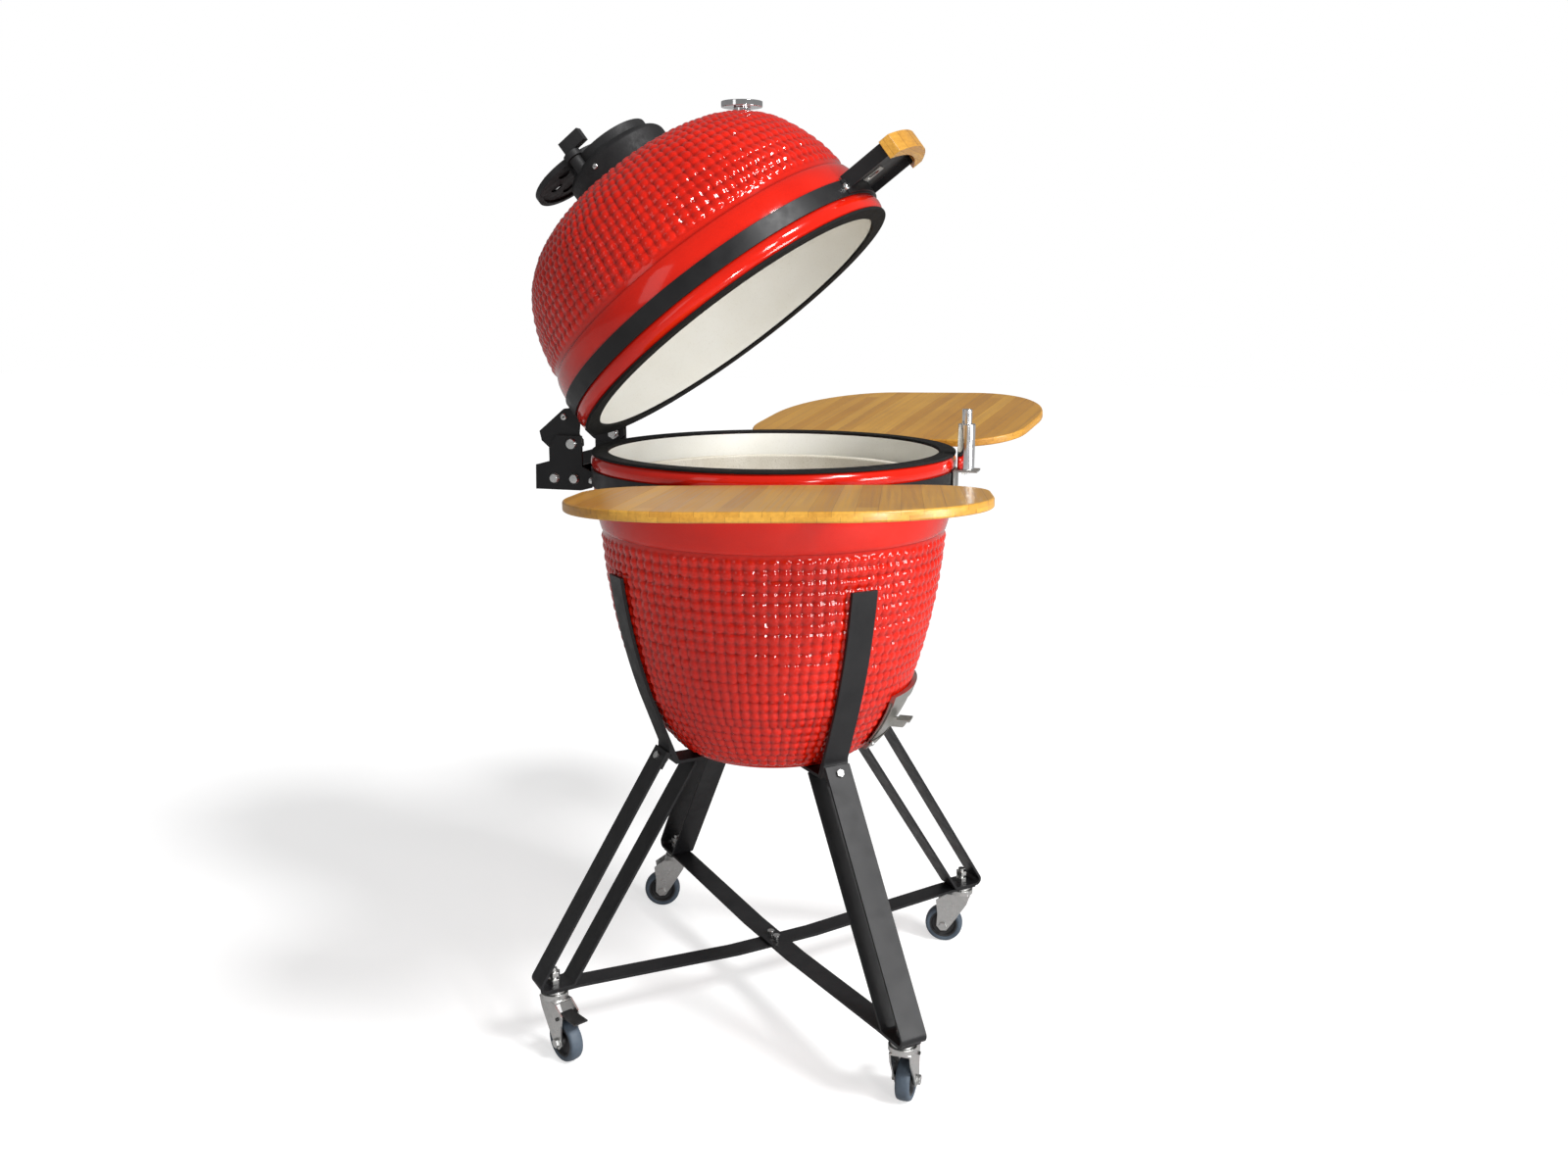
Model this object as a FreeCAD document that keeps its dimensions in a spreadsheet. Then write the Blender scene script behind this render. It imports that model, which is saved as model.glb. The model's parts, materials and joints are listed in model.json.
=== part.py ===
"""Ceramic kamado charcoal grill on a four-leg caster stand.

Units are millimetres.  +Z is up, -Y is the front (handle side), +X and -X carry the two side shelves.
The origin lies on the floor under the bowl's axis.  The lid is drawn closed and then turned open about
its hinge pin, so every lid piece is described in the closed pose.
"""
import FreeCAD, Part
import math
import os
import re
import Sketcher
from FreeCAD import Placement, Rotation, Vector

DOCUMENT = FreeCAD.newDocument("kamado_grill")
SHEET = DOCUMENT.addObject("Spreadsheet::Sheet", "Sizes")

DIMENSIONS = [
    # bowl and lid, radii from the common axis and heights above the floor
    ("rim_z", 869.0), ("bowl_bottom_z", 423.0), ("bowl_bottom_r", 138.0), ("wall", 22.0),
    ("mouth_r", 240.0), ("rim_r", 262.0), ("rim_bulge_r", 14.0), ("gasket_t", 4.0), ("gasket_r", 264.5),
    ("rim_height", 20.0), ("band_height", 24.0), ("band_t", 2.5), ("band_r", 262.5),
    ("shoulder_r", 252.5), ("shoulder_z", 757.0), ("texture_r", 251.0), ("waist_r", 203.0),
    ("waist_z", 520.0), ("side_arc", 880.0), ("foot_arc", 235.0), ("floor_t", 17.0),
    ("lid_gap", 0.4), ("lid_ridge_r", 258.5), ("lid_ridge", 78.0), ("lid_side_r", 253.0),
    ("lid_side", 84.0), ("lid_turn_r", 223.8), ("lid_turn", 185.0), ("lid_brow_r", 157.0),
    ("lid_brow", 240.0), ("lid_top_r", 78.0), ("lid_top", 255.0), ("chimney_r", 60.0), ("dial_height", 227.0),
    # inner ceramics and grates
    ("firebox_top_z", 660.0), ("ring_top_z", 833.0), ("ledge_z", 796.0), ("grate_r", 205.0),
    ("grate_wire", 3.0), ("coal_r", 147.0), ("coal_z", 520.0),
    # lid hinge
    ("pin_y", 282.0), ("pin_z", 875.0), ("pin_r", 6.0), ("cheek_x", 84.0), ("lid_arm_x", 78.0),
    ("plate_t", 4.0), ("running_gap", 0.08), ("bracket_bolt_z", 824.0), ("lid_open_angle", 37.6),
    # lid handle, heights above the lid's rim plane
    ("handle_x", 72.0), ("handle_low", 35.0), ("handle_high", 55.0), ("handle_neck", 50.0),
    ("handle_web", 44.5), ("web_t", 2.5), ("grip_half", 80.0),
    ("grip_low", 29.0), ("grip_height", 27.0), ("grip_end_y", -322.0), ("grip_depth", 24.0),
    ("grip_outer_arc", 170.0), ("grip_inner_arc", 200.0),
    # chimney vent
    ("vent_r", 80.0), ("vent_bore_r", 57.0), ("vent_neck_r", 64.0), ("vent_side", 36.0),
    ("vent_shoulder", 47.0), ("vent_neck", 62.0), ("cap_r", 67.0), ("cap_t", 9.0),
    ("cap_pivot_x", -62.0), ("cap_pivot_y", 31.5), ("cap_open_angle", 53.9),
    # soft-close damper at the front of the rim
    ("damper_y", -281.5), ("damper_r", 12.0), ("damper_base_z", 848.0), ("damper_top_z", 911.5),
    ("plunger_r", 7.0), ("plunger_top_z", 932.0), ("plunger_length", 58.0),
    # side shelves
    ("shelf_pin_x", 274.0), ("shelf_pin_z", 846.0), ("left_shelf_y", -100.0), ("right_shelf_y", -74.0),
    ("shelf_length", 490.0), ("shelf_width", 327.0), ("shelf_t", 12.0), ("shelf_top", 10.0),
    ("shelf_edge", 6.0), ("shelf_outer_corner", 172.0), ("shelf_inner_corner", 91.0),
    ("shelf_turn", 11.0), ("left_shelf_tilt", 3.3), ("right_shelf_tilt", 9.3),
    ("left_shelf_roll", 1.0), ("right_shelf_roll", 1.7),
    ("shelf_front_arm_y", -165.0), ("shelf_rear_arm_y", 55.0), ("shelf_pin_r", 3.0), ("knuckle_r", 5.5),
    # draft vent low on the front of the bowl
    ("draft_low_z", 440.0), ("draft_high_z", 528.0), ("draft_span", 40.0), ("draft_port", 17.0),
    ("draft_parked", 8.0),
    # stand
    ("strip_width", 40.0), ("cradle_t", 5.0), ("cradle_top_z", 703.0), ("cradle_foot_r", 173.0),
    ("cradle_lip_r", 95.0), ("stud_height", 3.0), ("stem_rho", 364.0), ("foot_z", 110.0),
    ("foot_outer", 392.0), ("foot_inner", 342.0), ("leg_top_z", 437.0), ("leg_outer_top", 184.0),
    ("leg_inner_top", 141.0), ("bolt_r", 3.0), ("stem_r", 5.0), ("brace_end_z", 106.0),
    ("brace_mid_z", 95.0), ("brace_width", 34.0),
    # casters
    ("wheel_r", 31.5), ("wheel_width", 21.0), ("caster_trail", 27.0), ("axle_r", 4.0),
    ("fork_gap", 13.0), ("fork_t", 2.5), ("race_r", 20.0), ("pedal_x", 30.0), ("pedal_z", 70.0),
]
ALIASES = [alias for alias, _ in DIMENSIONS]
SIDES = {"left": -1, "right": 1}
STEM_HEADINGS = {"rear_left": 238.0, "front_left": -3.0, "front_right": 92.0, "rear_right": 106.0}
LEG_ANGLES = {"rear_left": 135.0, "front_left": 225.0, "front_right": 315.0, "rear_right": 45.0}
BRAKED = ("rear_left", "front_left")
BRACKET_BOLTS = ("279", "310.5")

for row, (alias, size) in enumerate(DIMENSIONS, start=1):
    SHEET.set("A%d" % row, alias)
    SHEET.set("B%d" % row, str(size))
    SHEET.setAlias("B%d" % row, alias)
DOCUMENT.recompute()


# ---------------------------------------------------------------- expressions, placement, naming
def linked(text):
    """The expression with every alias pointed at the sheet."""
    def prefix(match):
        word = match.group(0)
        return "Sizes." + word if word in ALIASES else word
    return re.sub(r"[a-z_]+", prefix, str(text))


def number(text):
    """The present value of an expression."""
    return float(SHEET.evalExpression(linked(text)))


def bind(thing, prop, text):
    """Tie a property to the sheet."""
    thing.setExpression(prop, linked(text))


def add(kind, name):
    return DOCUMENT.addObject(kind, name)


DIRECTIONS = {
    "+x": Rotation(Vector(0, 1, 0), 90), "-x": Rotation(Vector(0, 1, 0), -90),
    "+y": Rotation(Vector(1, 0, 0), -90), "-y": Rotation(Vector(1, 0, 0), 90),
    "+z": Rotation(), "-z": Rotation(Vector(1, 0, 0), 180),
}


def put(thing, at, turn):
    """Turn a piece and tie its position to the sheet."""
    thing.Placement = Placement(Vector(*[number(c) for c in at]), turn)
    for axis, text in zip("xyz", at):
        bind(thing, "Placement.Base." + axis, text)
    return thing


# ---------------------------------------------------------------- primitives and booleans
def cylinder(radius, height, at=(0, 0, 0), along="+z"):
    rod = add("Part::Cylinder", "rod")
    bind(rod, "Radius", radius)
    bind(rod, "Height", height)
    return put(rod, at, along if isinstance(along, Rotation) else DIRECTIONS[along])


def cone(low, high, height, at=(0, 0, 0), along="+z"):
    taper = add("Part::Cone", "taper")
    bind(taper, "Radius1", low)
    bind(taper, "Radius2", high)
    bind(taper, "Height", height)
    return put(taper, at, along if isinstance(along, Rotation) else DIRECTIONS[along])


def hexagon(across, height, at, along="+z"):
    nut = add("Part::Prism", "hexagon")
    nut.Polygon = 6
    bind(nut, "Circumradius", across)
    bind(nut, "Height", height)
    return put(nut, at, along if isinstance(along, Rotation) else DIRECTIONS[along])


def block(size, low, turn=Rotation()):
    """A box from its lowest corner."""
    brick = add("Part::Box", "block")
    for prop, text in zip(("Length", "Width", "Height"), size):
        bind(brick, prop, text)
    return put(brick, low, turn)


def cut(base, *tools):
    """The base without the tools."""
    result = add("Part::Cut", "cut")
    result.Base = base
    result.Tool = tools[0] if len(tools) == 1 else fuse(*tools)
    return result


def fuse(*pieces):
    result = add("Part::MultiFuse", "fuse")
    result.Shapes = list(pieces)
    return result


def common(base, tool):
    result = add("Part::Common", "common")
    result.Base = base
    result.Tool = tool
    return result


def group(*pieces):
    """Several separate solids kept as one sub-part, such as like fasteners."""
    result = add("Part::Compound", "set")
    result.Links = list(pieces)
    return result


def ring(inner, outer, height, at=(0, 0, 0), along="+z"):
    return cut(cylinder(outer, height, at, along), through(inner, height, at, along))


def through(radius, height, at, along="+z"):
    """A drill that passes right through a plate of the given height."""
    turn = along if isinstance(along, Rotation) else DIRECTIONS[along]
    back = turn.multVec(Vector(0, 0, -1))
    start = ["%s + (%.6f)" % (c, d) for c, d in zip(at, back)]
    return cylinder(radius, "%s + 2" % height, start, turn)


# ---------------------------------------------------------------- sketches and bodies
def outline(body, plane, corners):
    """A closed sketch through the corners (x, y), each fixed to the sheet.

    A corner (x, y, radius, side) is reached by an arc that bulges to the left (+1) or the right (-1)
    of the way travelled.
    """
    sketch = body.newObject("Sketcher::SketchObject", "outline")
    origin_plane = [f for f in body.Origin.OriginFeatures if f.Role == plane][0]
    sketch.AttachmentSupport = [(origin_plane, "")]
    sketch.MapMode = "FlatFace"
    points = [Vector(number(c[0]), number(c[1]), 0) for c in corners]
    starts, ends, arcs = [], [], []
    for index, corner in enumerate(corners):
        here, last = points[index], points[index - 1]
        if len(corner) == 2:
            edge = sketch.addGeometry(Part.LineSegment(last, here))
        else:
            edge = sketch.addGeometry(arc_between(last, here, number(corner[2]), corner[3]))
            arcs.append((edge, corner[2]))
        begins_first = (sketch.getPoint(edge, 1) - last).Length < 1e-6
        starts.append((edge, 1 if begins_first else 2))
        ends.append((edge, 2 if begins_first else 1))
    for index, corner in enumerate(corners):
        follower = starts[(index + 1) % len(corners)]
        sketch.addConstraint(sketcher_pair("Coincident", ends[index], follower))
        for kind, text, value in (("DistanceX", corner[0], points[index].x),
                                  ("DistanceY", corner[1], points[index].y)):
            rule = sketch.addConstraint(sketcher_size(kind, ends[index], value))
            sketch.setExpression("Constraints[%d]" % rule, linked(text))
    for edge, radius in arcs:
        rule = sketch.addConstraint(Sketcher.Constraint("Radius", edge, number(radius)))
        sketch.setExpression("Constraints[%d]" % rule, linked(radius))
    return sketch


def sketcher_pair(kind, one, other):
    return Sketcher.Constraint(kind, one[0], one[1], other[0], other[1])


def sketcher_size(kind, point, value):
    """A distance from the sketch's own origin."""
    return Sketcher.Constraint(kind, -1, 1, point[0], point[1], value)


def arc_between(start, end, radius, side):
    """The shorter arc of a given radius, bulging left (+1) or right (-1) of the way travelled."""
    chord = end - start
    half = chord.Length / 2
    left = Vector(-chord.y, chord.x, 0).normalize()
    rise = radius - math.sqrt(radius * radius - half * half)
    return Part.Arc(start, (start + end) * 0.5 + left * (side * rise), end)


def turned(corners, sweep="360", facing=None):
    """A body of revolution about Z from corners (radius, height); a part sweep is centred on facing."""
    body = add("PartDesign::Body", "turned")
    sketch = outline(body, "XZ_Plane", corners)
    turning = body.newObject("PartDesign::Revolution", "revolution")
    turning.Profile = sketch
    turning.ReferenceAxis = (sketch, ["V_Axis"])
    turning.Midplane = facing is not None
    bind(turning, "Angle", sweep)
    sketch.Visibility = False
    if facing is not None:
        body.Placement = Placement(Vector(), Rotation(Vector(0, 0, 1), facing))
    return body


def plate(corners, thickness, plane="XY_Plane", at=(0, 0, 0), turn=Rotation()):
    """A flat plate padded equally to both sides of its sketch plane."""
    body = add("PartDesign::Body", "plate")
    sketch = outline(body, plane, corners)
    pad = body.newObject("PartDesign::Pad", "pad")
    pad.Profile = sketch
    pad.Midplane = True
    bind(pad, "Length", thickness)
    sketch.Visibility = False
    return put(body, at, turn)


def bent_strip(path, thickness, width, bend=6.0):
    """A flat strip bent along a path of (x, z) corners in the XZ plane, centred on Y.

    The path is one face of the strip and the metal lies on its right-hand side.
    """
    points = [Vector(number(x), 0, number(z)) for x, z in path]
    edges = []
    start = points[0]
    for before, corner, after in zip(points, points[1:], points[2:]):
        inward = (before - corner).normalize()
        onward = (after - corner).normalize()
        turn = math.pi - inward.getAngle(onward)
        back = bend * math.tan(turn / 2)
        first, last = corner + inward * back, corner + onward * back
        middle = corner + (inward + onward).normalize() * (bend / math.cos(turn / 2) - bend)
        edges += [Part.makeLine(start, first), Part.Arc(first, middle, last).toShape()]
        start = last
    edges.append(Part.makeLine(start, points[-1]))
    face = Part.Wire(edges).makeOffset2D(thickness, fill=True, openResult=True, join=0)
    strip = add("Part::Feature", "strip")
    strip.Shape = face.extrude(Vector(0, width, 0))
    strip.Placement = Placement(Vector(0, -width / 2, 0), Rotation())
    return strip


NODES = []


def node(label, thing, where=None):
    """Name a finished sub-part and, if it stands on a moving frame, set it there."""
    if where is not None and thing.ExpressionEngine:
        thing = group(thing)
    thing.Label = label
    if where is not None:
        thing.Placement = where.multiply(thing.Placement)
    NODES.append(thing)
    return thing


# ---------------------------------------------------------------- moving frames
LID_ZERO = "rim_z + lid_gap"
PIN = Vector(0, number("pin_y"), number("pin_z"))
LID_OPEN = Placement(Vector(), Rotation(Vector(1, 0, 0), -number("lid_open_angle")), PIN)


DIAL_TURN = Rotation(Vector(1, 0, 0), number("lid_open_angle"))
DIAL = Placement(Vector(0, -186, number(LID_ZERO + " + dial_height")), DIAL_TURN)


def above_lid_rim(height):
    """A height measured from the lid's rim plane, in the closed pose."""
    return "%s + %s" % (LID_ZERO, height)


def spin_about_z(degrees, x=0.0, y=0.0):
    return Placement(Vector(), Rotation(Vector(0, 0, 1), degrees), Vector(x, y, 0))


# ---------------------------------------------------------------- bowl
def make_base_shell():
    below_rim = "rim_z - gasket_t"
    groove_top = below_rim + " - rim_height"
    groove_low = groove_top + " - band_height"
    shell = turned([
        ("0", "bowl_bottom_z"),
        ("bowl_bottom_r", "bowl_bottom_z"),
        ("waist_r", "waist_z", "foot_arc", -1),
        ("texture_r", "shoulder_z", "side_arc", -1),
        ("shoulder_r", "shoulder_z"),
        ("rim_r", groove_low, "200", -1),
        ("rim_r", groove_top),
        ("rim_r - 2", below_rim, "rim_bulge_r", -1),
        ("mouth_r", below_rim),
        ("mouth_r", "rim_z - 69"),
        ("texture_r - wall", "shoulder_z"),
        ("waist_r - wall", "waist_z", "side_arc - wall", 1),
        ("bowl_bottom_r - 12", "bowl_bottom_z + floor_t", "foot_arc - wall", 1),
        ("0", "bowl_bottom_z + floor_t"),
    ])
    port = block(("55", "120", "54"), ("-52", "-240", "457"))
    node("base_shell", cut(shell, port))


def make_base_trim():
    low = "rim_z - gasket_t"
    node("base_gasket", turned([
        ("mouth_r + 1", low), ("gasket_r - 1", low), ("gasket_r - 1", "rim_z", "3", -1),
        ("mouth_r + 1", "rim_z"),
    ]))
    band_low = "rim_z - gasket_t - rim_height - band_height"
    node("base_band", ring("band_r", "band_r + band_t", "band_height", ("0", "0", band_low)))


def make_fire_ceramics():
    floor = "bowl_bottom_z + floor_t"
    box = turned([
        ("0", floor), ("104", floor), ("172", "waist_z"), ("206", "firebox_top_z"),
        ("184", "firebox_top_z"), ("152", "coal_z"), ("138", "coal_z"), ("92", floor + " + 16"),
        ("0", floor + " + 16"),
    ])
    air_slot = block(("90", "150", "44"), ("-45", "-220", "458"))
    node("firebox", cut(box, air_slot))
    node("fire_ring", turned([
        ("184", "firebox_top_z"), ("206", "firebox_top_z"), ("222", "740"), ("227", "ledge_z"),
        ("227", "ring_top_z"), ("213", "ring_top_z"), ("213", "ledge_z"), ("200", "ledge_z"),
        ("197", "760"),
    ]))


def make_grates():
    """A slotted cast plate under the coals and a round wire grate on the fire ring's ledge."""
    slot_pitch, slot_width, slot_limit = 18, 8, number("coal_r") - 13
    slots = []
    for index in range(-6, 7):
        y = slot_pitch * index
        half = math.sqrt(slot_limit ** 2 - y ** 2)
        size = ("%.3f" % (2 * half), str(slot_width), "12")
        slots.append(block(size, ("%.3f" % -half, str(y - slot_width / 2), "coal_z - 2")))
    node("charcoal_grate", cut(cylinder("coal_r", "7", ("0", "0", "coal_z")), *slots))

    hoop = add("Part::Torus", "hoop")
    bind(hoop, "Radius1", "grate_r")
    bind(hoop, "Radius2", "grate_wire")
    height = "ledge_z + grate_wire"
    put(hoop, ("0", "0", height), Rotation())
    radius, pitch = number("grate_r"), 26
    bars = []
    for index in range(-7, 8):
        y = pitch * index
        half = math.sqrt(radius ** 2 - y ** 2)
        start = ("%.3f" % -half, str(y), height)
        bars.append(cylinder("grate_wire - 0.6", "%.3f" % (2 * half), start, "+x"))
    node("cooking_grate", fuse(hoop, *bars))


def bowl_skin(inner, outer, sweep):
    """A curved panel in front of the bowl, between two stand-offs from its surface."""
    return turned([
        ("bowl_bottom_r + %s" % inner, "bowl_bottom_z", "foot_arc", 1),
        ("bowl_bottom_r + %s" % outer, "bowl_bottom_z"),
        ("waist_r + %s" % outer, "waist_z", "foot_arc", -1),
        ("texture_r + %s" % outer, "shoulder_z", "side_arc", -1),
        ("texture_r + %s" % inner, "shoulder_z"),
        ("waist_r + %s" % inner, "waist_z", "side_arc", 1),
    ], sweep, -90.0)


def between(low, high):
    """A broad slab used to trim a panel to a range of heights."""
    return block(("800", "800", "%s - (%s)" % (high, low)), ("-400", "-400", low))


# ---------------------------------------------------------------- draft vent
def make_draft_vent():
    """A curved steel frame with two rails and a door that slides round the bowl between them."""
    low, high = "draft_low_z", "draft_high_z"
    backing = common(bowl_skin("3", "5", "draft_span"), between(low, high))
    rails = common(bowl_skin("5", "9", "draft_span"), between(low, high))
    lips = common(bowl_skin("9", "10.5", "draft_span"), between(low, high))
    rail_gap = between(low + " + 10", high + " - 10")
    lip_gap = between(low + " + 15", high + " - 15")
    port = block(("51", "120", "50"), ("-50", "-240", "459"))
    node("draft_frame", cut(fuse(backing, cut(rails, rail_gap), cut(lips, lip_gap)), port))

    panel = common(bowl_skin("5.6", "8.2", "draft_port + 4"), between(low + " + 11", high + " - 11"))
    panel.Placement = spin_about_z(-number("draft_parked"))
    tab = block(("26", "20", "3"), ("-44", "-218", "482"))
    post = common(bowl_skin("6", "30", "draft_span"), block(("8", "60", "14"), ("-35", "-214", "471")))
    node("draft_door", fuse(panel, tab, post))


# ---------------------------------------------------------------- stand
def make_cradle_and_legs():
    """Four bent straps that carry the bowl, each with a hairpin leg bolted to its tail."""
    inner, outer = "stud_height", "stud_height + cradle_t"
    under = "bowl_bottom_z - cradle_t"
    down = Vector(number("foot_outer - leg_outer_top"), 0, number("foot_z - leg_top_z"))
    down.normalize()
    inward = Vector(down.z, 0, -down.x)
    bolt_line = Rotation(Vector(0, 0, 1), inward)
    leg_top = Vector(number("leg_outer_top"), 0, number("leg_top_z"))
    tail, slack, tail_t, bolt_drop = 26.0, 0.2, 3.0, 12.0
    head_t, nut_t, shank = 4.0, 5.0, 22.0

    def tail_corner(along, inside):
        """A corner of the strap's tail, measured down the leg and in from its inner face."""
        across = down * along + inward * inside
        return "leg_outer_top + (%.3f)" % across.x, "leg_top_z + (%.3f)" % across.z

    bolts = []
    for corner, angle in LEG_ANGLES.items():
        spin = spin_about_z(angle)
        strap = plate([
            ("cradle_foot_r - cradle_t", "bowl_bottom_z"),
            ("cradle_lip_r", "bowl_bottom_z"),
            ("cradle_lip_r", under),
            ("cradle_foot_r", under),
            tail_corner(0, slack + tail_t),
            tail_corner(tail, slack + tail_t),
            tail_corner(tail, slack),
            tail_corner(0, slack),
            ("leg_outer_top - 0.8", "leg_top_z + 8.5"),
            ("waist_r + " + outer, "waist_z"),
            ("texture_r + " + outer, "shoulder_z", "side_arc", -1),
            ("texture_r + " + inner, "shoulder_z"),
            ("waist_r + " + inner, "waist_z", "side_arc", 1),
        ], "strip_width", "XZ_Plane")
        trimmed = cut(strap, between("cradle_top_z", "shoulder_z + 20"))
        start = leg_top + down * bolt_drop - inward * (number("plate_t") + head_t)
        place = tuple("%.4f" % c for c in start)
        drill = ("bolt_r + 0.2", "18", place, bolt_line)
        node("cradle_" + corner, cut(trimmed, through(*drill)), spin)

        hairpin = bent_strip(
            [("leg_outer_top", "leg_top_z"), ("foot_outer", "foot_z"), ("foot_inner", "foot_z"),
             ("leg_inner_top", under)], number("plate_t"), number("strip_width"))
        stem_hole = through("stem_r + 0.2", "plate_t + 4", ("stem_rho", "0", "foot_z - plate_t - 2"))
        node("leg_" + corner, cut(hairpin, through(*drill), stem_hole), spin)

        nut_at = leg_top + down * bolt_drop + inward * (2 * slack + tail_t)
        bolt = fuse(cylinder("bolt_r", str(shank), place, bolt_line), hexagon("6", str(head_t), place, bolt_line),
                    hexagon("6", str(nut_t), tuple("%.4f" % c for c in nut_at), bolt_line))
        bolt.Placement = spin
        bolts.append(bolt)
    return bolts


def make_braces():
    """Two flat strips crossing under the bowl; one runs above the other where they are bolted."""
    strips = []
    spin = spin_about_z(LEG_ANGLES["front_left"])
    for corner, lift in (("rear_left", 0.0), ("front_left", 4.0)):
        end = "brace_end_z"
        middle = "brace_mid_z - plate_t + %.1f" % lift
        strip = bent_strip(
            [("stem_rho + 18", end), ("stem_rho - 34", end), ("70", middle), ("-70", middle),
             ("34 - stem_rho", end), ("-18 - stem_rho", end)],
            number("plate_t"), number("brace_width"), bend=60.0)
        tools = [through("stem_r + 0.2", "20", (side + "stem_rho", "0", "brace_end_z - 10"))
                 for side in ("", "-")]
        for reach in ("-9", "9"):
            at = (reach, "0") if lift else ("0", reach)
            tools.append(through("bolt_r + 0.2", "40", at + ("brace_mid_z - 20",)))
        drilled = cut(strip, *tools)
        drilled.Placement = spin_about_z(LEG_ANGLES[corner])
        strips.append(drilled)
    node("braces", group(*strips))
    bolts = []
    for along in ("-9", "9"):
        shank = cylinder("bolt_r", "16", (along, "0", "brace_mid_z - 12"))
        head = cylinder("5.5", "3", (along, "0", "brace_mid_z + 4"))
        nut = hexagon("6", "4", (along, "0", "brace_mid_z - 12"))
        bolt = fuse(shank, head, nut)
        bolt.Placement = spin
        bolts.append(bolt)
    return bolts


def make_stand():
    node("frame_bolts", group(*(make_cradle_and_legs() + make_braces())))


def make_casters():
    """Swivel forks on fixed stems, with a wheel on a bolt axle and brake pedals on two of them."""
    stems = []
    rho = number("stem_rho")
    for corner, angle in LEG_ANGLES.items():
        stem = fuse(
            cylinder("stem_r", "48", ("stem_rho", "0", "86")),
            cylinder("race_r - 3", "3.4", ("stem_rho", "0", "98.5")),
            hexagon("9.2", "8", ("stem_rho", "0", "foot_z")),
            hexagon("9.2", "7", ("stem_rho", "0", "foot_z + 12")),
        )
        stem.Placement = spin_about_z(angle)
        stems.append(stem)
        foot = Vector(rho * math.cos(math.radians(angle)), rho * math.sin(math.radians(angle)), 0)
        make_caster(corner, Placement(foot, Rotation(Vector(0, 0, 1), STEM_HEADINGS[corner])))
    node("caster_stems", group(*stems))


def make_caster(corner, here):
    axle_at = ("caster_trail", "wheel_r")
    cheek_line = [("-17", "90"), ("22", "90"), ("40", "77"), ("37", "52"), ("38", "30"),
                  ("31", "22"), ("21", "23"), ("12", "36"), ("-12", "74")]
    offset = "fork_gap + fork_t / 2"
    cheeks = [plate(cheek_line, "fork_t", "XZ_Plane", ("0", side + "(" + offset + ")", "0"))
              for side in ("", "-")]
    crown = block(("39", "2 * (fork_gap + fork_t)", "2.5"), ("-17", "-fork_gap - fork_t", "87.5"))
    race = cylinder("race_r", "8", ("0", "0", "90"))
    axle = cylinder("axle_r", "40", (axle_at[0], "-20", axle_at[1]), "+y")
    nuts = [hexagon("7", "4.5", (axle_at[0], y, axle_at[1]), "+y")
            for y in ("fork_gap + fork_t", "-fork_gap - fork_t - 4.5")]
    body = fuse(crown, race, axle, *(cheeks + nuts))
    tools = [through("stem_r + running_gap", "14", ("0", "0", "85"))]
    if corner in BRAKED:
        tools.append(through("2.5 + running_gap", "40", ("pedal_x", "-20", "pedal_z"), "+y"))
    node("caster_fork_" + corner, cut(body, *tools), here)

    centre = (axle_at[0], "-wheel_width / 2", axle_at[1])
    node("caster_tyre_" + corner, ring("23.5", "wheel_r", "wheel_width", centre, "+y"), here)
    disc_at = (axle_at[0], "1.5 - wheel_width / 2", axle_at[1])
    boss_at = (axle_at[0], "-2 - wheel_width / 2", axle_at[1])
    hub = fuse(cylinder("23.5", "wheel_width - 3", disc_at, "+y"),
               cylinder("9", "wheel_width + 4", boss_at, "+y"))
    bore = through("axle_r + running_gap", "30", (axle_at[0], "-15", axle_at[1]), "+y")
    node("caster_hub_" + corner, cut(hub, bore), here)
    if corner in BRAKED:
        pin = cylinder("2.5", "36", ("pedal_x", "-18", "pedal_z"), "+y")
        sleeve = cylinder("5", "24", ("pedal_x", "-12", "pedal_z"), "+y")
        pedal = block(("42", "22", "2.5"), ("pedal_x - 4", "-11", "pedal_z + 3"))
        node("brake_pedal_" + corner, fuse(pin, sleeve, pedal), here)


# ---------------------------------------------------------------- lid hinge
def round_bolt(at, along, head_r="8.5", shank="10"):
    """A round-headed bolt whose head stands on the face it is fastened to."""
    back = DIRECTIONS[along].multVec(Vector(0, 0, -1))
    start = tuple("%s + (%.0f) * %s" % (c, d, shank) for c, d in zip(at, back))
    return fuse(cylinder("bolt_r", shank + " + 1", start, along), cone(head_r, head_r + " - 2.5", "4.5", at, along))


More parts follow.
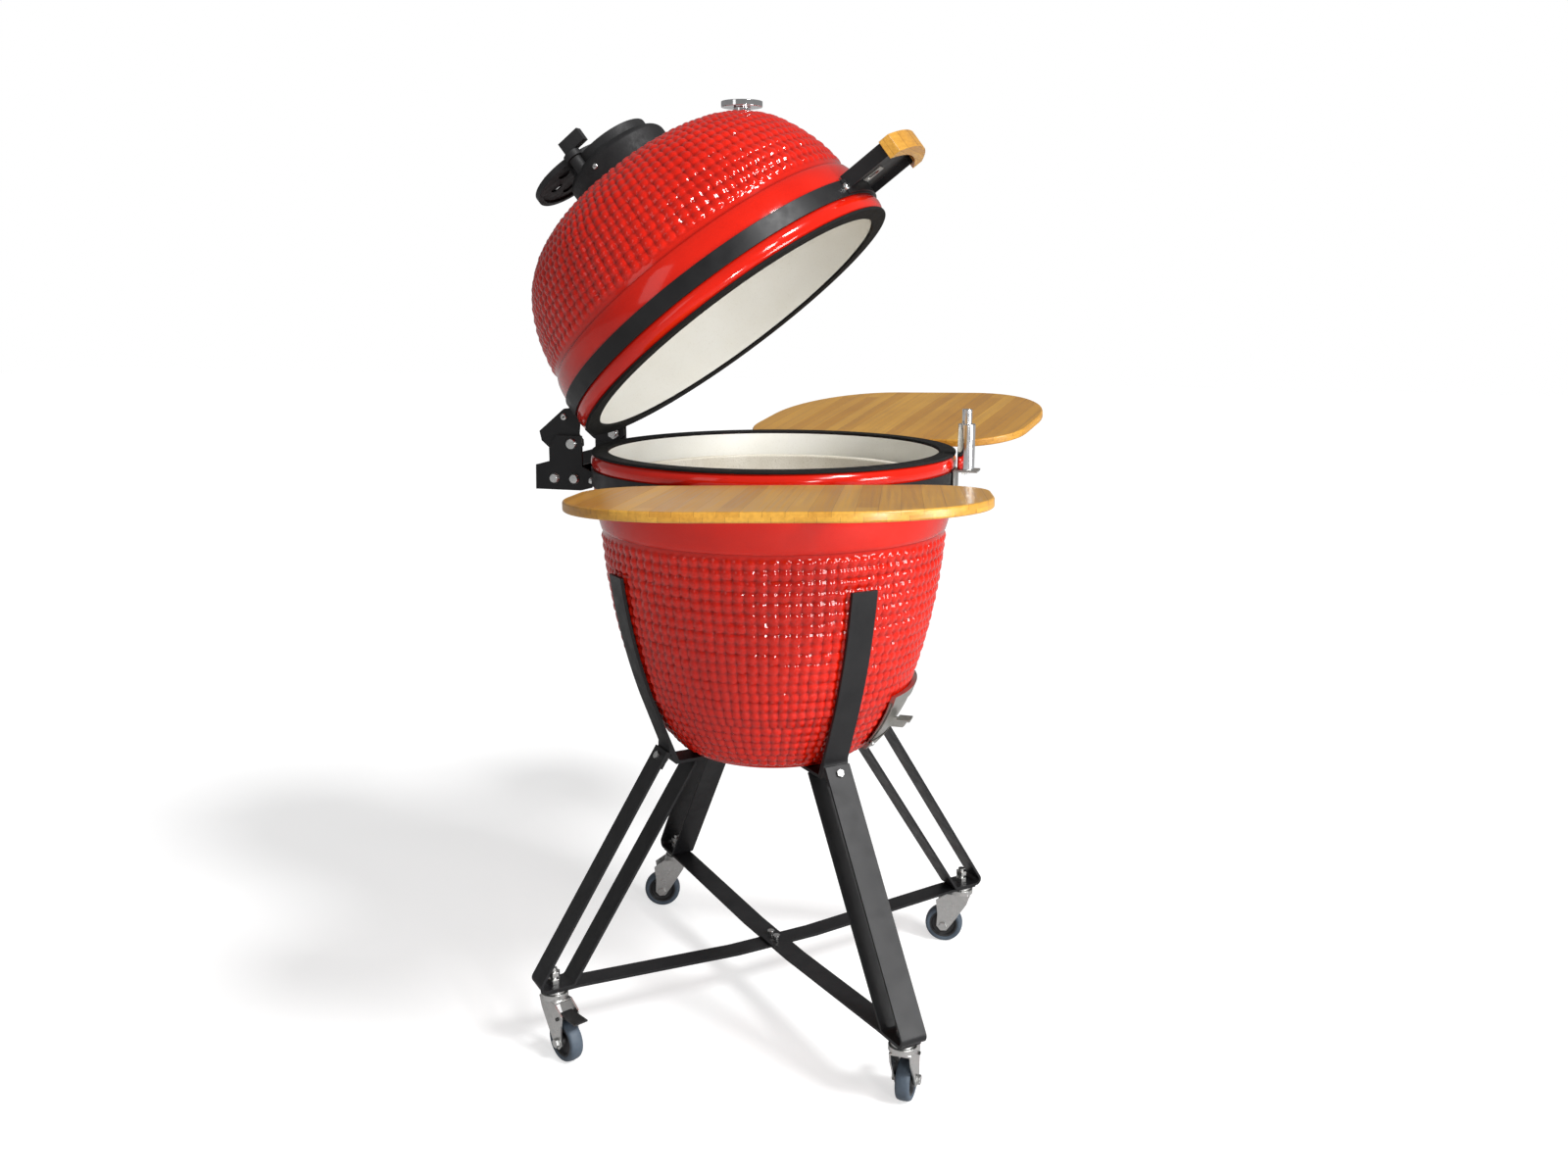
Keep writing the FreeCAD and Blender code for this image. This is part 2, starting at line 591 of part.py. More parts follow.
def make_hinge():
    """A bent steel bracket on the bowl band with a tall cheek each side for the hinge pin."""
    band_face = "band_r + band_t + 0.2"
    web = block(("2 * cheek_x", "4", "35"), ("-cheek_x", band_face + " + 4", "808"))
    saddle = common(ring(band_face, band_face + " + 5", "22", ("0", "0", "812")),
                    block(("2 * cheek_x + plate_t", "60", "30"), ("-cheek_x - plate_t / 2", "230", "810")))
    line = [("250", "812"), ("269", "807"), ("341", "807"), ("340", "843"), ("318", "849"),
            ("318", "868"), ("306", "887"), ("266", "887"), ("266", "842"), ("250", "834")]
    sides = []
    for side in ("", "-"):
        cheek = plate(line, "plate_t", "YZ_Plane", (side + "cheek_x", "0", "0"))
        bores = [cylinder("pin_r", "60", ("%scheek_x - 30" % side, "pin_y", "pin_z"), "+x")]
        for y in BRACKET_BOLTS:
            bores.append(cylinder("bolt_r", "60", ("%scheek_x - 30" % side, y, "bracket_bolt_z"), "+x"))
        sides.append(cut(cheek, fuse(*bores)))
    keep_clear = cylinder(band_face, "100", ("0", "0", "800"))
    node("hinge_bracket", cut(fuse(web, saddle, *sides), keep_clear))

    pins = []
    for side, along in (("", "+x"), ("-", "-x")):
        inner = side + "(lid_arm_x - 12)"
        shank = cylinder("pin_r", "cheek_x - lid_arm_x + 14", (inner, "pin_y", "pin_z"), along)
        head = cone("9", "7", "4", (side + "(cheek_x + 2)", "pin_y", "pin_z"), along)
        nut = hexagon("9.5", "5", (side + "(lid_arm_x - 9)", "pin_y", "pin_z"), along)
        pins.append(fuse(shank, head, nut))
    node("hinge_pins", group(*pins))


def make_band_bolts():
    """The fasteners of the fixed fittings: hinge bracket, clamp screws and the damper's nut."""
    bolts = []
    for side, along in (("", "+x"), ("-", "-x")):
        for y in BRACKET_BOLTS:
            bolts.append(round_bolt((side + "(cheek_x + plate_t / 2)", y, "bracket_bolt_z"), along))
    bolts.append(hexagon("6", "4", ("0", "damper_y", "damper_base_z - 7")))
    node("band_bolts", group(*bolts))


def make_lid_arms():
    """The lid's half of the hinge: a saddle on the lid band with an arm each side, bored for the pin."""
    band_face = "band_r + band_t + 0.2"
    line = [("250", "897"), ("266", "880"), ("266", "870"), ("271", "863"), ("294", "863"),
            ("316", "889"), ("320", "908"), ("314", "921"), ("262", "923"), ("250", "916")]
    arms = []
    for side in ("", "-"):
        arm = plate(line, "plate_t", "YZ_Plane", (side + "lid_arm_x", "0", "0"))
        at = ("%slid_arm_x - 30" % side, "pin_y", "pin_z")
        arms.append(cut(arm, cylinder("pin_r + running_gap", "60", at, "+x")))
    saddle = common(ring(band_face, band_face + " + 4", "20", ("0", "0", above_lid_rim("28"))),
                    block(("2 * lid_arm_x", "60", "40"), ("-lid_arm_x", "230", "890")))
    keep_clear = cylinder(band_face, "100", ("0", "0", "850"))
    node("lid_hinge_arms", cut(fuse(saddle, *arms), keep_clear), LID_OPEN)


# ---------------------------------------------------------------- lid
def make_lid():
    low = above_lid_rim("gasket_t")
    groove_low = low + " + rim_height + 2"
    groove_top = groove_low + " + band_height"
    dome = turned([
        ("rim_r - 2", low),
        ("rim_r", groove_low, "rim_bulge_r", -1),
        ("rim_r", groove_top),
        ("lid_ridge_r", above_lid_rim("lid_ridge"), "120", -1),
        ("lid_side_r", above_lid_rim("lid_side")),
        ("lid_turn_r", above_lid_rim("lid_turn"), "237", -1),
        ("lid_brow_r", above_lid_rim("lid_brow"), "123", -1),
        ("lid_top_r", above_lid_rim("lid_top"), "252", -1),
        ("chimney_r", above_lid_rim("lid_top")),
        ("chimney_r", above_lid_rim("lid_top - 20")),
        ("lid_brow_r - 14", above_lid_rim("lid_brow - 20"), "252", 1),
        ("lid_turn_r - 21", above_lid_rim("lid_turn - 9"), "101", 1),
        ("lid_side_r - 22", above_lid_rim("lid_side"), "215", 1),
        ("mouth_r", above_lid_rim("30")),
        ("mouth_r", low),
    ])
    probe_start = DIAL.multVec(Vector(0, 0, -80))
    probe_hole = cylinder("5", "90", tuple("%.4f" % c for c in probe_start), DIAL_TURN)
    node("lid_dome", cut(dome, probe_hole), LID_OPEN)
    node("lid_gasket", turned([
        ("mouth_r + 1", LID_ZERO), ("gasket_r - 1", LID_ZERO), ("gasket_r - 1", low, "3", -1),
        ("mouth_r + 1", low),
    ]), LID_OPEN)
    node("lid_band", ring("band_r", "band_r + band_t", "band_height", ("0", "0", groove_low)), LID_OPEN)


def make_handle():
    """A bent steel bracket on the lid band that carries a bowed hardwood grip and a striker plate."""
    outer = "band_r + band_t"
    low, high = above_lid_rim("handle_low"), above_lid_rim("handle_high")
    saddle = common(ring(outer + " + 0.2", outer + " + 3", "21", ("0", "0", above_lid_rim("28"))),
                    block(("2 * handle_x + 20", "80", "60"), ("-handle_x - 10", "-290", LID_ZERO)))
    web, neck = above_lid_rim("handle_web"), above_lid_rim("handle_neck")
    cheek = [("-250", low), ("-250", high), ("grip_end_y - 2.2", high), ("grip_end_y - 2.2", neck),
             ("grip_end_y - 8", neck), ("grip_end_y - 8", low)]
    cheeks = [plate(cheek, "plate_t", "YZ_Plane", (side + "handle_x", "0", "0")) for side in ("", "-")]
    roof = block(("2 * handle_x", "80", "web_t"), ("-handle_x", "-330", web))
    slot = plunger_slot(web + " - 8")
    keep_clear = cylinder(outer + " + 0.2", "80", ("0", "0", LID_ZERO))
    bracket = cut(fuse(saddle, roof, *cheeks), keep_clear, slot)
    node("handle_bracket", bracket, LID_OPEN)

    striker = block(("24", "29", "2"), ("-12", "-298", web + " - 2"))
    node("handle_striker", cut(striker, plunger_slot(web + " - 8")), LID_OPEN)

    grip = plate([
        ("-grip_half", "grip_end_y", "grip_inner_arc", 1),
        ("-grip_half", "grip_end_y - grip_depth + 8"),
        ("grip_half", "grip_end_y - grip_depth + 8", "grip_outer_arc", -1),
        ("grip_half", "grip_end_y"),
    ], "grip_height", "XY_Plane", ("0", "0", above_lid_rim("grip_low + grip_height / 2")))
    pocket = block(("2 * handle_x + 8", "60", "handle_neck - handle_low + 2"),
                   ("-handle_x - 4", "-330.4", low + " - 1"))
    node("handle_grip", cut(grip, pocket), LID_OPEN)


def plunger_slot(low):
    """A straight slot over the damper's plunger, long enough for the lid's swing."""
    radius, front, back = "plunger_r + 1", "damper_y - 2.5", "damper_y + 2.5"
    return fuse(cylinder(radius, "20", ("0", front, low)), cylinder(radius, "20", ("0", back, low)),
                block(("2 * (%s)" % radius, "5", "20"), ("-(%s)" % radius, front, low)))


def make_thermometer():
    """A dial on the dome's front, square to the dome's surface, with a probe through the wall."""
    frame = LID_OPEN.multiply(DIAL)
    case = cut(fuse(cylinder("29", "8", ("0", "0", "7")), cylinder("12", "8", ("0", "0", "0.5")),
                    cylinder("4", "75", ("0", "0", "-70"))),
               cylinder("26", "6", ("0", "0", "10")))
    node("thermometer_case", case, frame)
    node("thermometer_lens", cylinder("26", "1.5", ("0", "0", "13.3")), frame)
    needle = fuse(block(("28", "2", "0.8"), ("-7", "-1", "11.2")), cylinder("3", "1.4", ("0", "0", "10.9")))
    node("thermometer_needle", needle, frame)


def six_holes(radius, height, low, first=0, skip=()):
    """Holes spaced round the cap from a first angle, leaving out the numbered ones."""
    reach = 34
    holes = []
    for index in range(6):
        if index not in skip:
            turn = math.radians(first + 60 * index)
            at = ("%.3f" % (reach * math.cos(turn)), "%.3f" % (reach * math.sin(turn)), low)
            holes.append(through(radius, height, at))
    return holes


def make_vent():
    """A cast collar on the chimney, a cap that swings aside on a side pin, and a draught wheel on it."""
    base = "lid_top"
    seat = above_lid_rim(base + " + vent_neck")
    collar = turned([
        ("vent_bore_r", above_lid_rim(base)),
        ("vent_r", above_lid_rim(base)),
        ("vent_r", above_lid_rim(base + " + vent_side")),
        ("vent_r - 11", above_lid_rim(base + " + vent_shoulder"), "13", -1),
        ("vent_neck_r", above_lid_rim(base + " + vent_shoulder")),
        ("vent_neck_r", seat),
        ("vent_bore_r", seat),
    ])
    pivot = ("cap_pivot_x", "cap_pivot_y")
    boss = cylinder("9", "vent_neck - 20", pivot + (above_lid_rim(base + " + 20"),))
    pin = cylinder("4", "36", pivot + (seat + " - 24",))
    node("vent_collar", cut(fuse(collar, boss), cylinder("4", "40", pivot + (seat + " - 24",))), LID_OPEN)
    knuckle = block(("14", "36", "19"), ("cap_pivot_x - 7", "cap_pivot_y - 30", seat + " + cap_t + 1"))
    node("vent_pivot", fuse(pin, knuckle), LID_OPEN)

    swing = spin_about_z(number("cap_open_angle"), number("cap_pivot_x"), number("cap_pivot_y"))
    frame = LID_OPEN.multiply(swing)
    low = seat + " + 0.5"
    disc = cut(cylinder("cap_r", "cap_t", ("0", "0", low)),
               cylinder("cap_r - 10", "5", ("0", "0", low + " + cap_t - 4")),
               cylinder("cap_r - 8", "4", ("0", "0", low + " - 1")))
    lug = cylinder("13", "cap_t", pivot + (low,))
    pin_bore = through("4 + running_gap", "60", pivot + (low + " - 10",))
    node("vent_cap", cut(fuse(disc, lug), pin_bore, *six_holes("9.5", "20", low)), frame)
    top = low + " + cap_t - 3.7"
    knob = block(("6", "16", "12"), ("-3", "34", top))
    wheel = fuse(cylinder("cap_r - 11", "2.6", ("0", "0", top)), cylinder("7", "7", ("0", "0", top)), knob)
    node("vent_wheel", cut(wheel, *six_holes("8", "8", top, first=30, skip=(1,))), frame)


# ---------------------------------------------------------------- damper
def make_damper():
    """A chromed spring damper standing on a flange at the front of the bowl band."""
    at = ("0", "damper_y", "damper_base_z")
    length = "damper_top_z - damper_base_z"
    bore = cylinder("plunger_r + running_gap", length, ("0", "damper_y", "damper_base_z + 4"))
    node("damper_tube", cut(cylinder("damper_r", length, at), bore))
    flange = block(("34", "34", "3"), ("-17", "-300", "damper_base_z - 3"))
    lug = block(("34", "3", "24"), ("-17", "-269", "damper_base_z - 26"))
    node("damper_bracket", fuse(flange, lug))
    node("damper_plunger", cylinder("plunger_r", "plunger_length", ("0", "damper_y", "plunger_top_z - plunger_length")))


# ---------------------------------------------------------------- shelves
def make_shelves():
    brackets = []
    for name, side in SIDES.items():
        mount = shelf_mount(name, side)
        arm_lines = [shelf_arm_line(name, side, text) for text in ("shelf_front_arm_y", "shelf_rear_arm_y")]
        make_shelf(name, mount, arm_lines)
        brackets += [make_shelf_bracket(mount, y) for y in arm_lines]
    node("shelf_brackets", group(*brackets))


def shelf_mount(name, side):
    """The hinge line of a shelf: local +x points away from the bowl and +y runs along the hinge."""
    facing = (0 if side > 0 else 180) - side * number("shelf_turn")
    roll = -side * number(name + "_shelf_roll")
    at = Vector(side * number("shelf_pin_x"), number(name + "_shelf_y"), number("shelf_pin_z"))
    return Placement(at, Rotation(Vector(0, 0, 1), facing).multiply(Rotation(Vector(1, 0, 0), roll)))


def shelf_arm_line(name, side, text):
    """Where an arm stands along the hinge line."""
    return "%d * (%s - %s_shelf_y) / cos(shelf_turn)" % (side, text, name)


def make_shelf(name, mount, arm_lines):
    half, width = "shelf_length / 2", "(shelf_width + shelf_edge)"
    big, small = "shelf_outer_corner", "shelf_inner_corner"
    board = plate([
        ("shelf_edge + %s" % small, half, small, 1),
        ("%s - %s" % (width, big), half),
        (width, "%s - %s" % (half, big), big, 1),
        (width, "%s - %s" % (big, half)),
        ("%s - %s" % (width, big), "-(%s)" % half, big, 1),
        ("shelf_edge + %s" % small, "-(%s)" % half),
        ("shelf_edge", "%s - %s" % (small, half), small, 1),
        ("shelf_edge", "%s - %s" % (half, small)),
    ], "shelf_t", "XY_Plane", ("0", "0", "shelf_top - shelf_t / 2"))
    tilt = Rotation(Vector(0, 1, 0), -number(name + "_shelf_tilt"))
    frame = mount.multiply(Placement(Vector(), tilt))
    node(name + "_shelf", board, frame)
    arms = []
    for y in arm_lines:
        arm = block(("221", "20", "3"), ("0", y + " - 10", "shelf_top - shelf_t - 3"))
        knuckle = cylinder("knuckle_r", "20", ("0", y + " - 10", "0"), "+y")
        bore = through("shelf_pin_r + running_gap", "30", ("0", y + " - 15", "0"), "+y")
        arms.append(cut(fuse(arm, knuckle), bore))
    node(name + "_shelf_arms", group(*arms), frame)


def make_shelf_bracket(mount, y):
    """An arm from the bowl band with a pair of ears and a pin for the shelf's knuckle."""
    outer = "band_r + band_t + 0.2"
    pieces = [block(("70", "29", "5"), ("-82", y + " - 14.5", "-11")),
              cylinder("shelf_pin_r", "31", ("0", y + " - 15.5", "0"), "+y")]
    for offset in (" + 10.5", " - 14.5"):
        start = y + offset
        pieces += [block(("10", "4", "16.5"), ("-17", start, "-11")),
                   block(("17", "4", "11"), ("-17", start, "-5.5")),
                   cylinder("knuckle_r", "4", ("0", start, "0"), "+y")]
    arm = fuse(*pieces)
    arm.Placement = mount
    reach = group(block(("150", "44", "60"), ("-140", y + " - 22", "-30")))
    reach.Placement = mount
    pad = common(ring(outer, outer + " + 3", "20", ("0", "0", "823")), reach)
    return fuse(cut(arm, cylinder(outer + " + 1", "60", ("0", "0", "800"))), pad)


def build():
    make_base_shell()
    make_base_trim()
    make_fire_ceramics()
    make_grates()
    make_draft_vent()
    make_stand()
    make_casters()
    make_hinge()
    make_band_bolts()
    make_lid_arms()
    make_lid()
    make_handle()
    make_thermometer()
    make_vent()
    make_damper()
    make_shelves()


def check_and_write():
    DOCUMENT.recompute()
    for thing in DOCUMENT.Objects:
        if "Invalid" in thing.State or "Error" in thing.State:
            raise RuntimeError("%s (%s) failed" % (thing.Name, thing.Label))
    os.makedirs("parts", exist_ok=True)
    for thing in NODES:
        shape = thing.Shape
        if shape.isNull() or not shape.isValid():
            raise RuntimeError("%s has a bad shape" % thing.Label)
        shape.exportStep(os.path.join("parts", thing.Label + ".step"))
        print("%-30s solids %2d  volume %.0f" % (thing.Label, len(shape.Solids), shape.Volume))
    print("nodes", len(NODES))


build()
check_and_write()
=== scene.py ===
"""Looks for a ceramic kamado grill: studded red glaze, bamboo boards, black stand, zinc casters."""

import json
import math

import bmesh
import bpy
import numpy as np
from mathutils import Euler, Matrix, Vector


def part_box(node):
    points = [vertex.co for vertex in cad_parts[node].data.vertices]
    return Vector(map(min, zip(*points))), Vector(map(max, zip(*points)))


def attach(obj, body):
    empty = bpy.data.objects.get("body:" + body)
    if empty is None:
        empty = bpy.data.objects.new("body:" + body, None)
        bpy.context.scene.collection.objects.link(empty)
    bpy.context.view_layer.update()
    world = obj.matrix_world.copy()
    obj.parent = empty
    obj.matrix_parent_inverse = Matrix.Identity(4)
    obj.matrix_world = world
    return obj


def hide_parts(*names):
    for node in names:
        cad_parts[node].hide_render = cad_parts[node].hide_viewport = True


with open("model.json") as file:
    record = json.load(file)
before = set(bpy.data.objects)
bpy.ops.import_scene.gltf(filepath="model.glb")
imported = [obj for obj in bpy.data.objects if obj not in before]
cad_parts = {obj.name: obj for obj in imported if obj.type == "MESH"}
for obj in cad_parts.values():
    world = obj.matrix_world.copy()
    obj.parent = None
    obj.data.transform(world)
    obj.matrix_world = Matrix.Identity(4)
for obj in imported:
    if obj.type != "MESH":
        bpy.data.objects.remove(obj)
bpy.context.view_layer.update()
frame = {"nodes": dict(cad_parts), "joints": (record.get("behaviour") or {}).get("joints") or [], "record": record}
NODES = frame["nodes"]
RECORD = frame["record"]
JOINTS = {j["name"]: j for j in frame["joints"]}
BODY_OF = {n: body for body, names in RECORD["behaviour"]["bodies"].items() for n in names}
SLOT_OF = {s["node"]: s["material_slot"] for s in RECORD["subparts"]}
MM = 0.001
RNG = np.random.default_rng(7)

# Range that noise is read over when it drives a roughness.
NOISE_LOW, NOISE_HIGH = 0.3, 0.7

# Bamboo, in metres: strip widths, and in a board the height of the joint between its two plies, with
# the lower ply's shift across (in strips) and slide along.
BOARD_STRIP, GRIP_STRIP = 0.0235, 0.009
PLY_JOINT, PLY_SHIFT, PLY_SLIDE = 0.0042, 0.62, 0.21

# Columns of faces round the bowl and the lid.
COLUMNS = 720

# Bowl and lid, in millimetres: radii from their common axis, heights (_Z) from the floor, and heights
# on the closed lid (_H) from its seam at LID_ZERO. The port's sides and the lid's angle are in degrees.
RIM_R, RIM_BULGE_R, RIM_EDGE_R, MOUTH_R = 262, 265.1, 260, 240
BOWL_BOTTOM_Z, BOWL_FLOOR_Z, BOWL_RIM_Z = 423, 440, 865
POLE_R = 6
PORT_LOW_Z, PORT_HIGH_Z = 457.0, 511.0
PORT_FROM, PORT_TO = 270 - 15.6, 270 + 0.9
BOWL_STUDS = {"pitch": 15.4, "height": 4.8, "sunk": 2.0, "around_widest": 100}
LID_ZERO, LID_EDGE_H, LID_TOP_H = 869.4, 4, 255
LID_BULGE_R, CHIMNEY_R, CHIMNEY_H = 265.2, 60, 235
LID_STUDS = {"pitch": 14.2, "height": 4.2, "sunk": 1.6, "around_widest": 108}
LID_ANGLE = -37.6
GRIP_Y, GRIP_H = -338, 42

# Studs: the power that rounds them, and, as shares of the pitch, the spacing below which a row is
# thinned out (its count is multiplied by THINNING) and the width of the fade at the first and last row.
ROUNDNESS, LEAST_SPACING, THINNING, FADE = 1.8, 0.8, 0.83, 0.35
# Hand-made unevenness: a row's shift and a stud's drift, in studs, and a stud's height as a share.
ROW_SHIFT, DRIFT, SWELL = 0.07, 0.05, (0.9, 1.08)

# Cleaning and bevelling of the CAD solids: metres and degrees.
WELD, FLAT, SHARP_EDGE = 2e-6, 0.6, 32.0

# Dial, in millimetres and degrees.
TICKS, TICK_START, TICK_TURN = 28, -135, 10
TICK_OUT_R, TICK_H, TICK_WIDTH, TICK_THICK = 23.5, -3.05, 0.7, 0.3
LONG_TICK, SHORT_TICK, LONG_EVERY = 4.6, 2.6, 3

# Studio and camera, in metres, watts and degrees.
FLOOR_REACH, FLOOR_GLOW, WORLD_LIGHT = 14.0, 0.6, 0.25
SUN_POWER, SUN_ANGLE, SUN_WAY = 2.6, 12, (0.26, 0.66, -0.70)
MIDDLE = (0, 0, 0.8)
LAMPS = [
    ("key", (-1.9, -2.3, 2.7), MIDDLE, (0.5, 0.5), 22),
    ("side", (-3.0, 1.4, 1.9), MIDDLE, (0.9, 1.6), 5),
    ("low", (-0.6, -2.5, 0.85), (0, 0.1, 1.1), (0.8, 0.6), 24),
    ("fill", (-2.0, -1.6, 0.95), (0, 0.05, 0.95), (0.3, 0.3), 18),
]
LENS, SENSOR, SIDE_SHIFT, FAR_CLIP = 31.462, 36.0, 0.0066, 60.0
CAMERA_AT = (-1.91859, -0.56029, 1.09872)
CAMERA_WAY = (0.93751354, 0.27378437, -0.2147335)


# ---------------------------------------------------------------- procedural materials
class Finish:
    """A node material built up one detail at a time on a Principled shader. Lengths are in metres."""

    def __init__(self, name, **sockets):
        self.material = bpy.data.materials.new(name)
        self.material.use_nodes = True
        self.tree = self.material.node_tree
        self.shader = self.tree.nodes["Principled BSDF"]
        for socket, value in sockets.items():
            self.shader.inputs[socket.replace("_", " ")].default_value = value

    def node(self, kind, **settings):
        made = self.tree.nodes.new(kind)
        for key, value in settings.items():
            setattr(made, key, value)
        return made

    def link(self, start, end):
        self.tree.links.new(start, end)

    def where(self, scale=(1, 1, 1), location=(0, 0, 0), rotation=(0, 0, 0)):
        """Object coordinates, turned into a local frame and stretched."""
        spot = self.node("ShaderNodeTexCoord")
        local = self.node("ShaderNodeMapping", vector_type="TEXTURE")
        local.inputs["Location"].default_value = location
        local.inputs["Rotation"].default_value = rotation
        stretch = self.node("ShaderNodeMapping")
        stretch.inputs["Scale"].default_value = scale
        self.link(spot.outputs["Object"], local.inputs["Vector"])
        self.link(local.outputs["Vector"], stretch.inputs["Vector"])
        return stretch.outputs["Vector"]

    def noise(self, scale, vector=None, detail=4.0, rough=0.55):
        grain = self.node("ShaderNodeTexNoise")
        grain.inputs["Scale"].default_value = scale
        grain.inputs["Detail"].default_value = detail
        grain.inputs["Roughness"].default_value = rough
        self.link(vector or self.where(), grain.inputs["Vector"])
        return grain.outputs["Fac"]

    def ramp(self, factor, stops):
        ramp = self.node("ShaderNodeValToRGB")
        while len(ramp.color_ramp.elements) < len(stops):
            ramp.color_ramp.elements.new(0.5)
        for element, (place, colour) in zip(ramp.color_ramp.elements, stops):
            element.position = place
            element.color = tuple(colour) + (1.0,)
        self.link(factor, ramp.inputs["Fac"])
        return ramp.outputs["Color"]

    def colour(self, source):
        self.link(source, self.shader.inputs["Base Color"])

    def multiply(self, one, other, amount=1.0):
        mix = self.node("ShaderNodeMix", data_type="RGBA", blend_type="MULTIPLY")
        mix.inputs[0].default_value = amount
        self.link(one, mix.inputs[6])
        self.link(other, mix.inputs[7])
        return mix.outputs[2]

    def spread(self, factor, socket, low, high):
        span = self.node("ShaderNodeMapRange")
        span.inputs["From Min"].default_value = NOISE_LOW
        span.inputs["From Max"].default_value = NOISE_HIGH
        span.inputs["To Min"].default_value = low
        span.inputs["To Max"].default_value = high
        self.link(factor, span.inputs["Value"])
        self.link(span.outputs["Result"], self.shader.inputs[socket])

    def bump(self, height, strength, distance):
        relief = self.node("ShaderNodeBump")
        relief.inputs["Strength"].default_value = strength
        relief.inputs["Distance"].default_value = distance
        self.link(height, relief.inputs["Height"])
        self.link(relief.outputs["Normal"], self.shader.inputs["Normal"])


def glaze():
    finish = Finish("red_glaze", Coat_Weight=0.35, Coat_Roughness=0.05, Specular_IOR_Level=0.28)
    blotch = finish.noise(9.0)
    pooled = finish.ramp(blotch, [(0.3, (0.56, 0.009, 0.002)), (0.7, (0.68, 0.014, 0.004))])
    speck = finish.ramp(finish.noise(700.0, detail=2.0), [(0.25, (0.82, 0.8, 0.8)), (0.5, (1, 1, 1))])
    # Painted shade: the glaze colour is darkened through pointiness in the pits between studs, where shadow falls.
    hollow = finish.node("ShaderNodeNewGeometry").outputs["Pointiness"]  # low in the pits between studs
    painted_pit_shade = finish.ramp(hollow, [(0.44, (0.42, 0.30, 0.25)), (0.505, (1, 1, 1))])
    finish.colour(finish.multiply(finish.multiply(pooled, speck, 0.5), painted_pit_shade))
    finish.spread(finish.noise(60.0), "Roughness", 0.08, 0.17)
    finish.bump(finish.noise(110.0, detail=2.0), 0.08, 0.0006)
    return finish.material


def cream():
    finish = Finish("cream_glaze", Coat_Weight=0.25, Coat_Roughness=0.2)
    tint = finish.ramp(finish.noise(14.0), [(0.3, (0.92, 0.91, 0.85)), (0.7, (0.95, 0.945, 0.90))])
    speck = finish.ramp(finish.noise(420.0, detail=2.0), [(0.3, (0.86, 0.84, 0.8)), (0.42, (1, 1, 1))])
    finish.colour(finish.multiply(tint, speck, 0.4))
    finish.spread(finish.noise(35.0), "Roughness", 0.3, 0.5)
    finish.bump(finish.noise(90.0), 0.2, 0.0008)
    return finish.material


def refractory():
    finish = Finish("fire_ceramic")
    tint = finish.ramp(finish.noise(22.0), [(0.3, (0.70, 0.65, 0.55)), (0.7, (0.82, 0.78, 0.69))])
    grit = finish.ramp(finish.noise(650.0, detail=2.0), [(0.32, (0.7, 0.66, 0.6)), (0.45, (1, 1, 1))])
    finish.colour(finish.multiply(tint, grit, 0.7))
    finish.spread(finish.noise(60.0), "Roughness", 0.68, 0.86)
    finish.bump(finish.noise(380.0), 0.4, 0.0006)
    return finish.material


def powder_coat():
    finish = Finish("black_steel", Specular_IOR_Level=0.32)
    tint = [(0.3, (0.007, 0.007, 0.008)), (0.7, (0.013, 0.013, 0.014))]
    finish.colour(finish.ramp(finish.noise(16.0), tint))
    finish.spread(finish.noise(45.0), "Roughness", 0.36, 0.5)
    finish.bump(finish.noise(1500.0, detail=2.0), 0.22, 0.0003)
    return finish.material


def casting(name, low, high):
    finish = Finish(name, Specular_IOR_Level=0.4)
    finish.colour(finish.ramp(finish.noise(40.0), [(0.3, low), (0.7, high)]))
    finish.spread(finish.noise(120.0), "Roughness", 0.5, 0.68)
    finish.bump(finish.noise(420.0), 0.35, 0.0006)
    return finish.material


def bare_metal(name, colour, rough, stretch=(1, 1, 1), depth=0.08):
    finish = Finish(name, Metallic=1.0)
    dull = tuple(0.8 * c for c in colour)
    finish.colour(finish.ramp(finish.noise(70.0, detail=3.0), [(0.25, dull), (0.6, colour)]))
    brushed = finish.noise(240.0, finish.where(scale=stretch), detail=3.0)
    finish.spread(brushed, "Roughness", *rough)
    finish.bump(brushed, depth, 0.0002)
    return finish.material


def zinc_plate():
    finish = Finish("zinc", Metallic=1.0)
    cells = finish.node("ShaderNodeTexVoronoi")
    cells.inputs["Scale"].default_value = 190.0
    finish.link(finish.where(), cells.inputs["Vector"])
    tint = [(0.0, (0.60, 0.60, 0.59)), (0.8, (0.54, 0.54, 0.53))]
    finish.colour(finish.ramp(cells.outputs["Distance"], tint))
    finish.spread(finish.noise(90.0), "Roughness", 0.24, 0.42)
    finish.bump(finish.noise(300.0), 0.1, 0.0003)
    return finish.material


def moulded(name, low, high, rough=(0.42, 0.6), grain=600.0):
    finish = Finish(name)
    finish.colour(finish.ramp(finish.noise(50.0), [(0.3, low), (0.7, high)]))
    finish.spread(finish.noise(80.0), "Roughness", *rough)
    finish.bump(finish.noise(grain), 0.2, 0.0003)
    return finish.material


def felt():
    finish = Finish("gasket_felt", Specular_IOR_Level=0.2)
    fibre = finish.noise(900.0, finish.where(scale=(1, 1, 0.4)), detail=6.0, rough=0.7)
    finish.colour(finish.ramp(fibre, [(0.3, (0.006, 0.006, 0.006)), (0.7, (0.016, 0.016, 0.016))]))
    finish.spread(finish.noise(70.0), "Roughness", 0.82, 0.95)
    finish.bump(fibre, 0.6, 0.0008)
    return finish.material


def clear_glass():
    finish = Finish("lens", Transmission_Weight=1.0, IOR=1.46)
    smear = finish.noise(60.0)
    finish.colour(finish.ramp(smear, [(0.3, (0.93, 0.95, 0.95)), (0.7, (0.99, 1.0, 1.0))]))
    finish.spread(smear, "Roughness", 0.01, 0.05)
    return finish.material


